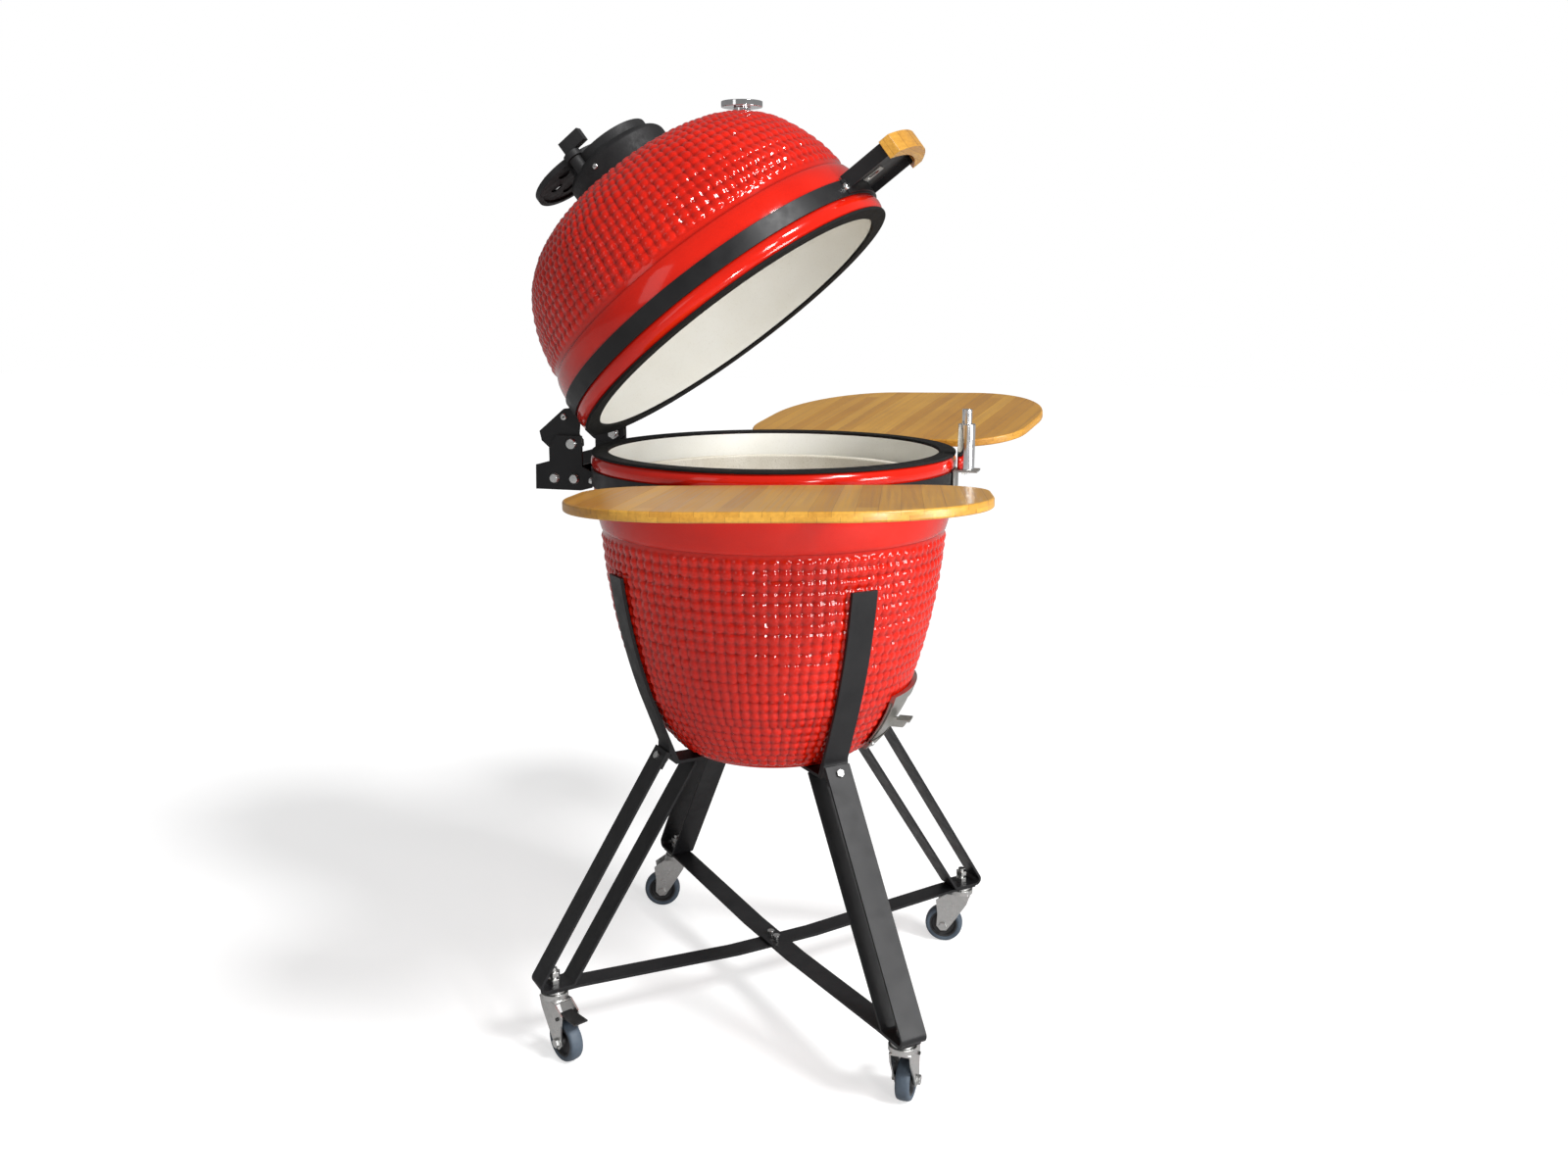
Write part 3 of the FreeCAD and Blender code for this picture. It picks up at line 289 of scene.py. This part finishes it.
def bamboo(name, origin, turn, strip, ply_shift=0.0, ply_slide=0.0):
    """Strips of bamboo along local x, pressed side by side.

    Below PLY_JOINT the strips are shifted across and slid along, so that the joints of the two plies
    don't meet.
    """
    finish = Finish(name, Coat_Weight=0.25, Coat_Roughness=0.22)
    local = finish.where(location=origin, rotation=turn)
    split = finish.node("ShaderNodeSeparateXYZ")
    finish.link(local, split.inputs["Vector"])
    lower = finish.node("ShaderNodeMath", operation="LESS_THAN")
    lower.inputs[1].default_value = PLY_JOINT
    finish.link(split.outputs[2], lower.inputs[0])
    shift = finish.node("ShaderNodeMath", operation="MULTIPLY_ADD")
    shift.inputs[1].default_value = ply_shift * strip
    finish.link(lower.outputs[0], shift.inputs[0])
    finish.link(split.outputs[1], shift.inputs[2])
    slide = finish.node("ShaderNodeMath", operation="MULTIPLY_ADD")
    slide.inputs[1].default_value = ply_slide
    finish.link(lower.outputs[0], slide.inputs[0])
    finish.link(split.outputs[0], slide.inputs[2])
    flat = finish.node("ShaderNodeCombineXYZ")
    finish.link(slide.outputs[0], flat.inputs[0])
    finish.link(shift.outputs[0], flat.inputs[1])
    strips = finish.node("ShaderNodeTexBrick", offset=0.37, offset_frequency=2)
    for socket, value in (("Color1", (0.74, 0.39, 0.055, 1)), ("Color2", (0.56, 0.255, 0.028, 1)),
                          ("Mortar", (0.34, 0.15, 0.02, 1)), ("Scale", 1.0), ("Mortar Size", 0.00025),
                          ("Mortar Smooth", 0.3), ("Bias", -0.15), ("Brick Width", 0.46),
                          ("Row Height", strip)):
        strips.inputs[socket].default_value = value
    finish.link(flat.outputs[0], strips.inputs["Vector"])
    fibres = finish.where(scale=(5, 260, 260), location=origin, rotation=turn)
    grain = finish.noise(1.0, fibres, detail=5.0)
    streak = finish.ramp(grain, [(0.3, (0.80, 0.76, 0.68)), (0.62, (1, 1, 1))])
    patch = finish.ramp(finish.noise(12.0), [(0.3, (0.90, 0.87, 0.80)), (0.7, (1, 1, 1))])
    finish.colour(finish.multiply(finish.multiply(strips.outputs["Color"], streak), patch))
    finish.spread(grain, "Roughness", 0.32, 0.48)
    finish.bump(grain, 0.12, 0.0004)
    return finish.material


def shelf_axes(name):
    """Where a shelf's hinge line is and how the board is turned: x outwards, y along the hinge, z up."""
    joint = JOINTS[name + "_shelf_fold"]
    mount = [m for m in RECORD["mounts"] if m["name"] == name + "_shelf_top"][0]
    hinge, up = Vector(joint["axis"]), Vector(mount["axis"])
    out = hinge.cross(up)
    turn = Matrix((out, hinge, up)).transposed()
    return Vector(joint["pos_m"]), turn.to_euler()


MATERIALS = {
    "red_glaze": glaze(), "cream": cream(), "fire_ceramic": refractory(), "black_steel": powder_coat(),
    "gasket_felt": felt(), "zinc": zinc_plate(), "lens": clear_glass(),
    "grate_steel": bare_metal("grate_steel", (0.62, 0.62, 0.6), (0.25, 0.4)),
    "grate_iron": casting("grate_iron", (0.035, 0.034, 0.033), (0.07, 0.068, 0.066)),
    "vent_iron": casting("vent_iron", (0.009, 0.009, 0.010), (0.018, 0.018, 0.019)),
    "stainless": bare_metal("stainless", (0.50, 0.49, 0.46), (0.3, 0.46), (1, 1, 14), depth=0.15),
    "bolt_steel": bare_metal("bolt_steel", (0.72, 0.72, 0.71), (0.18, 0.32)),
    "chrome": bare_metal("chrome", (0.86, 0.86, 0.87), (0.05, 0.12), depth=0.02),
    "tyre": moulded("tyre", (0.045, 0.062, 0.085), (0.075, 0.10, 0.13), (0.5, 0.66), 350.0),
    "hub_plastic": moulded("hub_plastic", (0.012, 0.012, 0.013), (0.026, 0.026, 0.028)),
    "pedal_plastic": moulded("pedal_plastic", (0.010, 0.010, 0.010), (0.020, 0.020, 0.020)),
    "needle_red": moulded("needle_red", (0.42, 0.012, 0.010), (0.56, 0.02, 0.016), (0.25, 0.4)),
    "dial_face": moulded("dial_face", (0.74, 0.74, 0.72), (0.82, 0.82, 0.80), (0.4, 0.55)),
    "dial_ink": moulded("dial_ink", (0.008, 0.008, 0.008), (0.016, 0.016, 0.016), (0.4, 0.55)),
}
LID_TURN = Euler((math.radians(LID_ANGLE), 0, 0))
PIN = Vector(JOINTS["lid_hinge"]["pos_m"])
OPEN = Matrix.Translation(PIN) @ LID_TURN.to_matrix().to_4x4() @ Matrix.Translation(-PIN)
GRIP_AT = OPEN @ Vector((0, GRIP_Y * MM, LID_ZERO * MM + GRIP_H * MM))
MATERIALS["bamboo_grip"] = bamboo("bamboo_grip", tuple(GRIP_AT), LID_TURN, GRIP_STRIP)
for side_name in ("left", "right"):
    spot, turned_by = shelf_axes(side_name)
    MATERIALS["bamboo_" + side_name] = bamboo("bamboo_" + side_name, tuple(spot), turned_by,
                                              BOARD_STRIP, PLY_SHIFT, PLY_SLIDE)


# ---------------------------------------------------------------- mesh helpers
def finish_piece(name, mesh, body, materials, replaced=(), sharp=40.0, flatten=False):
    """Put a finished mesh in the scene as a piece that rides on a body."""
    mesh.shade_smooth()
    mesh.set_sharp_from_angle(angle=math.radians(sharp))
    piece = bpy.data.objects.new(name, mesh)
    bpy.context.scene.collection.objects.link(piece)
    for material in materials:
        mesh.materials.append(material)
    if flatten:
        piece.modifiers.new("flat faces", "WEIGHTED_NORMAL").keep_sharp = True
    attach(piece, body)
    if replaced:
        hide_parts(*replaced)


def material_for(node):
    if node in ("left_shelf", "right_shelf"):
        return MATERIALS["bamboo_" + node.split("_")[0]]
    if node == "handle_grip":
        return MATERIALS["bamboo_grip"]
    return MATERIALS[SLOT_OF[node]]


def refined(node, width, segments):
    """The CAD solid with its flats joined up and its sharp edges bevelled as far as there is room."""
    bm = bmesh.new()
    bm.from_mesh(NODES[node].data)
    bmesh.ops.remove_doubles(bm, verts=bm.verts, dist=WELD)
    bmesh.ops.dissolve_degenerate(bm, edges=bm.edges, dist=WELD)
    bmesh.ops.dissolve_limit(bm, angle_limit=math.radians(FLAT), verts=bm.verts, edges=bm.edges)
    edges = [e for e in bm.edges
             if len(e.link_faces) == 2 and e.calc_face_angle(0.0) > math.radians(SHARP_EDGE)]
    bmesh.ops.bevel(bm, geom=edges, offset=width * MM, offset_type="OFFSET", segments=segments,
                    profile=0.5, affect="EDGES", clamp_overlap=True)
    bmesh.ops.recalc_face_normals(bm, faces=bm.faces)
    mesh = bpy.data.meshes.new(node + "_finish")
    bm.to_mesh(mesh)
    bm.free()
    finish_piece(node + "_finish", mesh, BODY_OF[node], [material_for(node)],
                 (node,), sharp=50.0, flatten=True)


def arc(start, end, radius, side, count):
    """Points after start up to end on the shorter arc, bulging left (+1) or right (-1) of the way."""
    (x0, y0), (x1, y1) = start, end
    cx, cy = x1 - x0, y1 - y0
    chord = math.hypot(cx, cy)
    depth = math.sqrt(radius * radius - chord * chord / 4)
    left = (-cy / chord, cx / chord)
    mx, my = (x0 + x1) / 2 - left[0] * side * depth, (y0 + y1) / 2 - left[1] * side * depth
    a0, a1 = math.atan2(y0 - my, x0 - mx), math.atan2(y1 - my, x1 - mx)
    while a1 - a0 > math.pi:
        a1 -= 2 * math.pi
    while a1 - a0 < -math.pi:
        a1 += 2 * math.pi
    steps = [a0 + (a1 - a0) * i / count for i in range(1, count + 1)]
    return [(mx + radius * math.cos(a), my + radius * math.sin(a)) for a in steps]


def trace(start, moves):
    """A profile from moves: (r, z) straight or (r, z, radius, side) round, with a step length last."""
    points = [start]
    for move in moves:
        end, step = (move[0], move[1]), move[-1]
        count = max(1, int(round(math.dist(points[-1], end) / step)))
        if len(move) == 5:
            points += arc(points[-1], end, move[2], move[3], count)
        else:
            points += straight(points[-1], end, count)[1:]
    return points


def straight(start, end, count):
    """Evenly spaced points from start to end, both included."""
    (x0, y0), (x1, y1) = start, end
    return [(x0 + (x1 - x0) * i / count, y0 + (y1 - y0) * i / count) for i in range(count + 1)]


def column_angles(columns):
    return np.arange(columns) * 2 * math.pi / columns


def pillow(value):
    """One across the middle of a stud, falling softly to nothing at its edges, half a pitch away."""
    return 1.0 - np.abs(2.0 * value) ** ROUNDNESS


def studs(profile, first, last, pitch, height, sunk, around_widest):
    """How far each point stands proud: a waffle of soft studs with a pit at every crossing.

    Each row is divided evenly round the shell, into fewer studs where the shell is narrow. The pits lie
    below the plain surface by the sunk depth.
    """
    points = np.array(profile)
    angles = column_angles(COLUMNS)
    run = np.concatenate([[0.0], np.cumsum(np.linalg.norm(np.diff(points, axis=0), axis=1))])
    rows = int(round((run[last] - run[first]) / pitch))
    step = (run[last] - run[first]) / rows
    proud = np.zeros((len(points), COLUMNS))
    for row in range(rows):
        inside = (run >= run[first] + row * step) & (run <= run[first] + (row + 1) * step)
        inside[:first] = inside[last + 1:] = False
        count = around_widest
        while 2 * math.pi * points[inside, 0].mean() / count < LEAST_SPACING * pitch:
            count = int(round(THINNING * count))
        around = angles * count / (2 * math.pi) + RNG.uniform(-ROW_SHIFT, ROW_SHIFT)
        cell = np.floor(around).astype(int) % count
        drift = RNG.uniform(-DRIFT, DRIFT, (2, count))
        swell = RNG.uniform(*SWELL, count)
        u = pillow(np.clip(around - np.floor(around) - 0.5 + drift[0][cell], -0.5, 0.5))[None, :]
        v = (run[inside] - run[first]) / step - row - 0.5
        v = pillow(np.clip(v[:, None] + drift[1][cell][None, :], -0.5, 0.5))
        bump = 0.5 * (u + v - u * v) + 0.5 * u * v
        proud[inside] = np.maximum(proud[inside], bump * swell[cell][None, :] * height)
    margin = FADE * pitch
    fade = np.clip((run - run[first]) / margin, 0, 1) * np.clip((run[last] - run) / margin, 0, 1)
    return (proud - sunk) * fade[:, None]


def shell(name, profile, relief, inner_from, place, closed, hole=None):
    """A mesh turned about local Z from a profile in millimetres, with relief standing out from it.

    A closed profile is a ring's section; an open one starts and ends near the axis and is capped there.
    Rows from inner_from on take the second material. hole = (columns, outer rows, inner rows), each a
    pair of limits, is a port through the wall.
    """
    points = np.array(profile)
    tangent = np.gradient(points, axis=0)
    normal = np.stack([tangent[:, 1], -tangent[:, 0]], axis=1)
    normal /= np.linalg.norm(normal, axis=1)[:, None]
    rows, columns = relief.shape
    angles = column_angles(columns)
    radius = points[:, 0][:, None] + relief * normal[:, 0][:, None]
    height = points[:, 1][:, None] + relief * normal[:, 1][:, None]
    grid = np.stack([radius * np.cos(angles), radius * np.sin(angles),
                     np.broadcast_to(height, radius.shape)], axis=2) * MM
    vertices = [place @ Vector(p) for p in grid.reshape(-1, 3)]
    faces, tints = [], []

    def at(row, column):
        return (row % rows) * columns + column % columns

    skipped = set()
    if hole:
        (c0, c1), outer, inner = hole
        for rows_cut in (outer, inner):
            for row in range(*rows_cut):
                skipped.update((row, c) for c in range(c0, c1))
    for row in range(rows if closed else rows - 1):
        for column in range(columns):
            if (row, column) not in skipped:
                faces.append((at(row, column), at(row, column + 1),
                              at(row + 1, column + 1), at(row + 1, column)))
                tints.append(1 if row >= inner_from else 0)
    if not closed:
        for row, flip in ((0, False), (rows - 1, True)):
            middle = len(vertices)
            vertices.append(place @ Vector((0, 0, points[row][1] * MM)))
            for column in range(columns):
                pair = (at(row, column), at(row, column + 1))
                faces.append((middle, pair[1], pair[0]) if not flip else (middle, pair[0], pair[1]))
                tints.append(1 if flip else 0)
    if hole:
        (c0, c1), (o0, o1), (i0, i1) = hole
        for column in range(c0, c1):
            faces.append((at(o0, column + 1), at(o0, column), at(i1, column), at(i1, column + 1)))
            faces.append((at(o1, column), at(o1, column + 1), at(i0, column + 1), at(i0, column)))
            tints += [1, 1]
        for k in range(o1 - o0):
            for column, flip in ((c0, False), (c1, True)):
                quad = (at(o0 + k, column), at(o0 + k + 1, column),
                        at(i1 - k - 1, column), at(i1 - k, column))
                faces.append(quad[::-1] if flip else quad)
                tints.append(1)
    mesh = bpy.data.meshes.new(name)
    mesh.from_pydata(vertices, [], faces)
    mesh.polygons.foreach_set("material_index", tints)
    bm = bmesh.new()
    bm.from_mesh(mesh)
    bmesh.ops.recalc_face_normals(bm, faces=bm.faces)
    bm.to_mesh(mesh)
    bm.free()
    return mesh


def revolved(name, section, place, columns):
    """A small closed ring turned about local Z from its section in millimetres."""
    return shell(name, section, np.zeros((len(section), columns)), len(section) + 1, place, True)


# ---------------------------------------------------------------- bowl and dome
def index_near(profile, height, start, end):
    """The point of the profile between two indices that is nearest to a height."""
    return min(range(start, end), key=lambda i: abs(profile[i][1] - height))


def build_bowl():
    """The bowl, studded from foot to shoulder, with the draft port low in its front."""
    foot = trace((POLE_R, BOWL_BOTTOM_Z), [(128, BOWL_BOTTOM_Z, 30), (136.5, 426.5, 9.0, -1, 2.5)])
    first = len(foot) - 1
    outside = trace(foot[-1], [(165, 457, 235, -1, 2.3), (195.5, 508.6, 235, -1, 2.3),
                               (203, 520, 235, -1, 2.3), (251, 757, 880, -1, 2.3)])
    last = first + len(outside) - 1
    rim = trace(outside[-1], [(253, 758.5, 3), (RIM_R, 821, 200, -1, 5), (RIM_R, 845, 12),
                              (RIM_BULGE_R, 855.5, 14, -1, 2), (RIM_EDGE_R, BOWL_RIM_Z, 14, -1, 2),
                              (MOUTH_R, BOWL_RIM_Z, 10)])
    inner_start = last + len(rim) - 1
    inside = trace(rim[-1], [(MOUTH_R, 800, 16), (229, 757, 11), (181, 520, 858, 1, 12),
                             (126, BOWL_FLOOR_Z, 213, 1, 4), (POLE_R, BOWL_FLOOR_Z, 30)])
    profile = foot + outside[1:] + rim[1:] + inside[1:]

    # The port needs as many rows inside as outside, so the inside is divided again between its edges.
    o0 = index_near(profile, PORT_LOW_Z, first, last)
    o1 = index_near(profile, PORT_HIGH_Z, first, last)
    i0 = index_near(profile, PORT_HIGH_Z, inner_start + 3, len(profile) - 2)
    i1 = index_near(profile, PORT_LOW_Z, i0, len(profile) - 2)
    profile = profile[:i0] + straight(profile[i0], profile[i1], o1 - o0) + profile[i1 + 1:]
    i1 = i0 + o1 - o0
    turn = 360.0 / COLUMNS
    c0, c1 = int(round(PORT_FROM / turn)), int(round(PORT_TO / turn))

    proud = studs(profile, first + 2, last - 2, **BOWL_STUDS)
    mesh = shell("bowl_shell", profile, proud, inner_start, Matrix.Identity(4), False,
                 ((c0, c1), (o0, o1), (i0, i1)))
    finish_piece("bowl_shell", mesh, "root", [MATERIALS["red_glaze"], MATERIALS["cream"]],
                 ("base_shell",))


def build_dome():
    """The lid, studded above its rim up to the chimney, carried to its open place."""
    rim = trace((RIM_EDGE_R, LID_EDGE_H), [(LID_BULGE_R, 14, 14, -1, 2), (RIM_R, 26, 14, -1, 2),
                                           (RIM_R, 50, 12), (260.9, 64, 120, -1, 4),
                                           (258.5, 76, 120, -1, 3), (256.4, 81.5, 2), (253.4, 84, 1.5)])
    first = len(rim) - 1
    outside = trace(rim[-1], [(223.8, 185, 237, -1, 2.2), (157, 240, 123, -1, 2.2),
                              (86, 254, 252, -1, 2.2)])
    last = first + len(outside) - 1
    top = trace(outside[-1], [(78, LID_TOP_H, 4), (CHIMNEY_R, LID_TOP_H, 9), (CHIMNEY_R, CHIMNEY_H, 10)])
    inner_start = last + len(top) - 4
    inside = trace(top[-1], [(143, 220, 252, 1, 10), (202.8, 176, 101, 1, 8), (231, 84, 215, 1, 10),
                             (MOUTH_R, 30, 18), (MOUTH_R, LID_EDGE_H, 13)])
    profile = rim + outside[1:] + top[1:] + inside[1:]
    proud = studs(profile, first + 3, last, **LID_STUDS)
    profile = [(r, h + LID_ZERO) for r, h in profile]
    mesh = shell("dome_shell", profile, proud, inner_start, OPEN, True)
    finish_piece("dome_shell", mesh, "lid", [MATERIALS["red_glaze"], MATERIALS["cream"]],
                 ("lid_dome",))


# ---------------------------------------------------------------- casters
def axle_frame(wheel):
    """The frame of a wheel: local Z along its axle, the origin at its middle."""
    joint = JOINTS[wheel + "_roll"]
    axis = Vector(joint["axis"])
    return Matrix.Translation(Vector(joint["pos_m"])) @ axis.to_track_quat("Z", "Y").to_matrix().to_4x4()


# Half sections in millimetres, as (radius, place along the axle), closed round the ring.
TYRE = [(23.5, -9.4), (25.2, -10.1), (27.4, -10.3), (29.2, -9.6), (30.5, -8.0), (31.2, -5.0), (31.5, 0),
        (31.2, 5.0), (30.5, 8.0), (29.2, 9.6), (27.4, 10.3), (25.2, 10.1), (23.5, 9.4)]
HUB = [(4.15, -12.2), (4.6, -12.5), (8.4, -12.5), (9, -11.9), (9.3, -6), (10.4, -4.8), (18.4, -4.2),
       (19.8, -5), (20.6, -8.6), (21.2, -9.1), (23.2, -9.1), (23.4, -8.8), (23.4, 8.8), (23.2, 9.1),
       (21.2, 9.1), (20.6, 8.6), (19.8, 5), (18.4, 4.2), (10.4, 4.8), (9.3, 6), (9, 11.9), (8.4, 12.5),
       (4.6, 12.5), (4.15, 12.2)]


def build_wheels():
    for corner in ("rear_left", "front_left", "front_right", "rear_right"):
        place = axle_frame("wheel_" + corner)
        for part, section, slot in (("tyre", TYRE, "tyre"), ("hub", HUB, "hub_plastic")):
            name = "%s_%s" % (part, corner)
            mesh = revolved(name, section, place, 72)
            finish_piece(name, mesh, "wheel_" + corner, [MATERIALS[slot]],
                         ("caster_%s_%s" % (part, corner),), sharp=50.0)


# ---------------------------------------------------------------- dial
def build_dial():
    """A pale face under the lens with a ring of tick marks; heights run from the lens's middle."""
    low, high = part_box("thermometer_lens")
    middle = (low + high) / 2
    place = Matrix.Translation(middle)
    face = [(0.8, -3.6), (25.6, -3.6), (25.8, -3.4), (25.6, -3.2), (0.8, -3.2)]
    disc = revolved("dial_face", face, place, 96)
    finish_piece("dial_face", disc, "lid", [MATERIALS["dial_face"]])
    bm = bmesh.new()
    for index in range(TICKS):
        turn = Matrix.Rotation(-math.radians(TICK_START + index * TICK_TURN), 4, "Z")
        reach = LONG_TICK if index % LONG_EVERY == 0 else SHORT_TICK
        tick = bmesh.ops.create_cube(bm, size=1.0)["verts"]
        size = Matrix.Diagonal((TICK_WIDTH * MM, reach * MM, TICK_THICK * MM, 1))
        spot = Matrix.Translation(Vector((0, (TICK_OUT_R - reach / 2) * MM, TICK_H * MM)))
        bmesh.ops.transform(bm, matrix=place @ turn @ spot @ size, verts=tick)
    mesh = bpy.data.meshes.new("dial_ticks")
    bm.to_mesh(mesh)
    bm.free()
    finish_piece("dial_ticks", mesh, "lid", [MATERIALS["dial_ink"]])


# ---------------------------------------------------------------- small screws
# A head's section as shares of its radius and height; it starts a little below the face it stands on.
SCREW = [(0.25, -0.3), (1.0, -0.3), (1.0, 0.35), (0.86, 0.72), (0.55, 0.9), (0.42, 0.9), (0.4, 0.3),
         (0.25, 0.3)]


def add_screw(name, body, at, along, radius, height):
    """A button head with a round socket, standing on a face; at is in millimetres, in the world."""
    turn = Vector(along).to_track_quat("Z", "Y").to_matrix().to_4x4()
    place = Matrix.Translation(Vector(at) * MM) @ turn
    head = revolved(name, [(r * radius, h * height) for r, h in SCREW], place, 28)
    finish_piece(name, head, body, [MATERIALS["bolt_steel"]])


def on_lid(point, direction):
    """A point and direction of the closed lid, its height from the seam, carried to the open lid."""
    at = OPEN @ (Vector((point[0], point[1], point[2] + LID_ZERO)) * MM)
    return at / MM, OPEN.to_3x3() @ Vector(direction)


def radial(angle, radius, height):
    """A point on a round face and the way straight out of it."""
    x, y = math.cos(math.radians(angle)), math.sin(math.radians(angle))
    return (radius * x, radius * y, height), (x, y, 0)


# Angles in degrees, radii and heights in millimetres; VENT_LEAN turns the vent's heads down with the bowl.
COLLAR_ANGLES, COLLAR_R, COLLAR_H = (173.8, 353.8), 79.6, 284.0
BAND_TURN, BAND_R, BAND_Z = 21.6, 265.0, 824.0
VENT_SCREWS = [(-74, 187.5, 520.5), (-106, 187.5, 520.5), (-74, 171.2, 446.0), (-106, 171.2, 446.0)]
VENT_LEAN = -0.55


def build_screws():
    for index, angle in enumerate(COLLAR_ANGLES):
        add_screw("collar_screw_%d" % index, "lid", *on_lid(*radial(angle, COLLAR_R, COLLAR_H)), 4.2, 3.0)
    for index, side in enumerate((-1, 1)):
        saddle = on_lid((side * 79.5, -254.0, 38.5), (side * 0.3, -0.954, 0))
        add_screw("saddle_screw_%d" % index, "lid", *saddle, 5.4, 5.0)
        arm = on_lid((side * 80.0, 269.0, 44.0), (side, 0, 0))
        add_screw("arm_screw_%d" % index, "lid", *arm, 5.2, 4.0)
        add_screw("band_screw_%d" % index, "root", *radial(90 + side * BAND_TURN, BAND_R, BAND_Z), 4.8, 5.0)
    for index, vent_screw in enumerate(VENT_SCREWS):
        at, out = radial(*vent_screw)
        add_screw("vent_screw_%d" % index, "root", at, (out[0], out[1], VENT_LEAN), 3.4, 2.4)


# ---------------------------------------------------------------- every other solid
# Greatest bevel width in millimetres, and its segments; the first entry that starts a node's name is
# used. Blender narrows the whole bevel of a piece whose shortest edges leave no room, which is most.
EDGES = [
    ("left_shelf_arms", 0.5, 2), ("right_shelf_arms", 0.5, 2), ("left_shelf", 2.6, 4),
    ("right_shelf", 2.6, 4), ("handle_grip", 4.5, 4), ("caster_stems", 0.6, 2), ("brake_pedal", 0.9, 3),
    ("vent_collar", 1.4, 3), ("vent_pivot", 1.2, 3), ("vent_cap", 1.2, 3), ("vent_wheel", 0.6, 2),
    ("thermometer_case", 0.8, 3), ("thermometer_needle", 0.15, 1), ("damper_tube", 0.8, 3),
    ("damper_plunger", 0.9, 3), ("firebox", 3.0, 3), ("fire_ring", 3.0, 3), ("charcoal_grate", 0.8, 2),
    ("base_gasket", 0.8, 2), ("lid_gasket", 0.8, 2), ("hinge_pins", 0.6, 2), ("leg_", 0.8, 2),
    ("cradle_", 0.8, 2), ("", 0.5, 2),
]
REBUILT = ("base_shell", "lid_dome", "caster_tyre", "caster_hub")
AS_MADE = ("cooking_grate", "thermometer_lens")


def dress_solids():
    """Finish every solid that hasn't been rebuilt above; those in AS_MADE keep their mesh."""
    for node, piece in NODES.items():
        if node.startswith(REBUILT):
            continue
        if node in AS_MADE:
            piece.data.materials.clear()
            piece.data.materials.append(material_for(node))
            continue
        width, segments = [(w, s) for start, w, s in EDGES if node.startswith(start)][0]
        refined(node, width, segments)


# ---------------------------------------------------------------- studio
def add_area(name, place, target, size, power):
    light = bpy.data.lights.new(name, "AREA")
    light.shape = "RECTANGLE"
    light.size, light.size_y = size
    light.energy = power
    lamp = bpy.data.objects.new(name, light)
    bpy.context.scene.collection.objects.link(lamp)
    lamp.location = place
    lamp.rotation_euler = (Vector(target) - Vector(place)).to_track_quat("-Z", "Y").to_euler()


def build_studio():
    """White ground and surroundings as the camera sees them, a soft sun and four lamps."""
    mesh = bpy.data.meshes.new("floor")
    corners = [(-1, -1, 0), (1, -1, 0), (1, 1, 0), (-1, 1, 0)]
    mesh.from_pydata([Vector(corner) * FLOOR_REACH for corner in corners], [], [(0, 1, 2, 3)])
    floor = bpy.data.objects.new("floor", mesh)
    bpy.context.scene.collection.objects.link(floor)
    finish = Finish("floor_paint")
    tint = [(0.3, (0.52, 0.52, 0.52)), (0.7, (0.55, 0.55, 0.55))]
    finish.colour(finish.ramp(finish.noise(1.5), tint))
    finish.spread(finish.noise(6.0), "Roughness", 0.7, 0.85)
    finish.shader.inputs["Emission Color"].default_value = (1.0, 1.0, 1.0, 1.0)
    seen = finish.node("ShaderNodeLightPath")
    glow = finish.node("ShaderNodeMath", operation="MULTIPLY")
    glow.inputs[1].default_value = FLOOR_GLOW
    finish.link(seen.outputs["Is Camera Ray"], glow.inputs[0])
    finish.link(glow.outputs[0], finish.shader.inputs["Emission Strength"])
    mesh.materials.append(finish.material)

    world = bpy.data.worlds.new("studio")
    bpy.context.scene.world = world
    world.use_nodes = True
    background = world.node_tree.nodes["Background"]
    rays = world.node_tree.nodes.new("ShaderNodeLightPath")
    level = world.node_tree.nodes.new("ShaderNodeMapRange")
    level.inputs["To Min"].default_value = WORLD_LIGHT
    level.inputs["To Max"].default_value = 1.0
    world.node_tree.links.new(rays.outputs["Is Camera Ray"], level.inputs["Value"])
    world.node_tree.links.new(level.outputs["Result"], background.inputs["Strength"])
    background.inputs["Color"].default_value = (1.0, 1.0, 1.0, 1.0)

    sun = bpy.data.lights.new("sun", "SUN")
    sun.energy = SUN_POWER
    sun.angle = math.radians(SUN_ANGLE)
    lamp = bpy.data.objects.new("sun", sun)
    bpy.context.scene.collection.objects.link(lamp)
    lamp.rotation_euler = Vector(SUN_WAY).to_track_quat("-Z", "Y").to_euler()
    for settings in LAMPS:
        add_area(*settings)
    bpy.context.scene.view_settings.view_transform = "Standard"


def build_camera():
    data = bpy.data.cameras.new("camera")
    data.lens = LENS
    data.sensor_width = SENSOR
    data.shift_x = SIDE_SHIFT
    data.clip_end = FAR_CLIP
    camera = bpy.data.objects.new("camera", data)
    bpy.context.scene.collection.objects.link(camera)
    forward = Vector(CAMERA_WAY).normalized()
    right = forward.cross(Vector((0, 0, 1))).normalized()
    up = right.cross(forward)
    turn = Matrix((right, up, -forward)).transposed().to_4x4()
    camera.matrix_world = Matrix.Translation(Vector(CAMERA_AT)) @ turn
    bpy.context.scene.camera = camera


build_camera()
build_studio()
build_bowl()
build_dome()
build_wheels()
build_dial()
build_screws()
dress_solids()
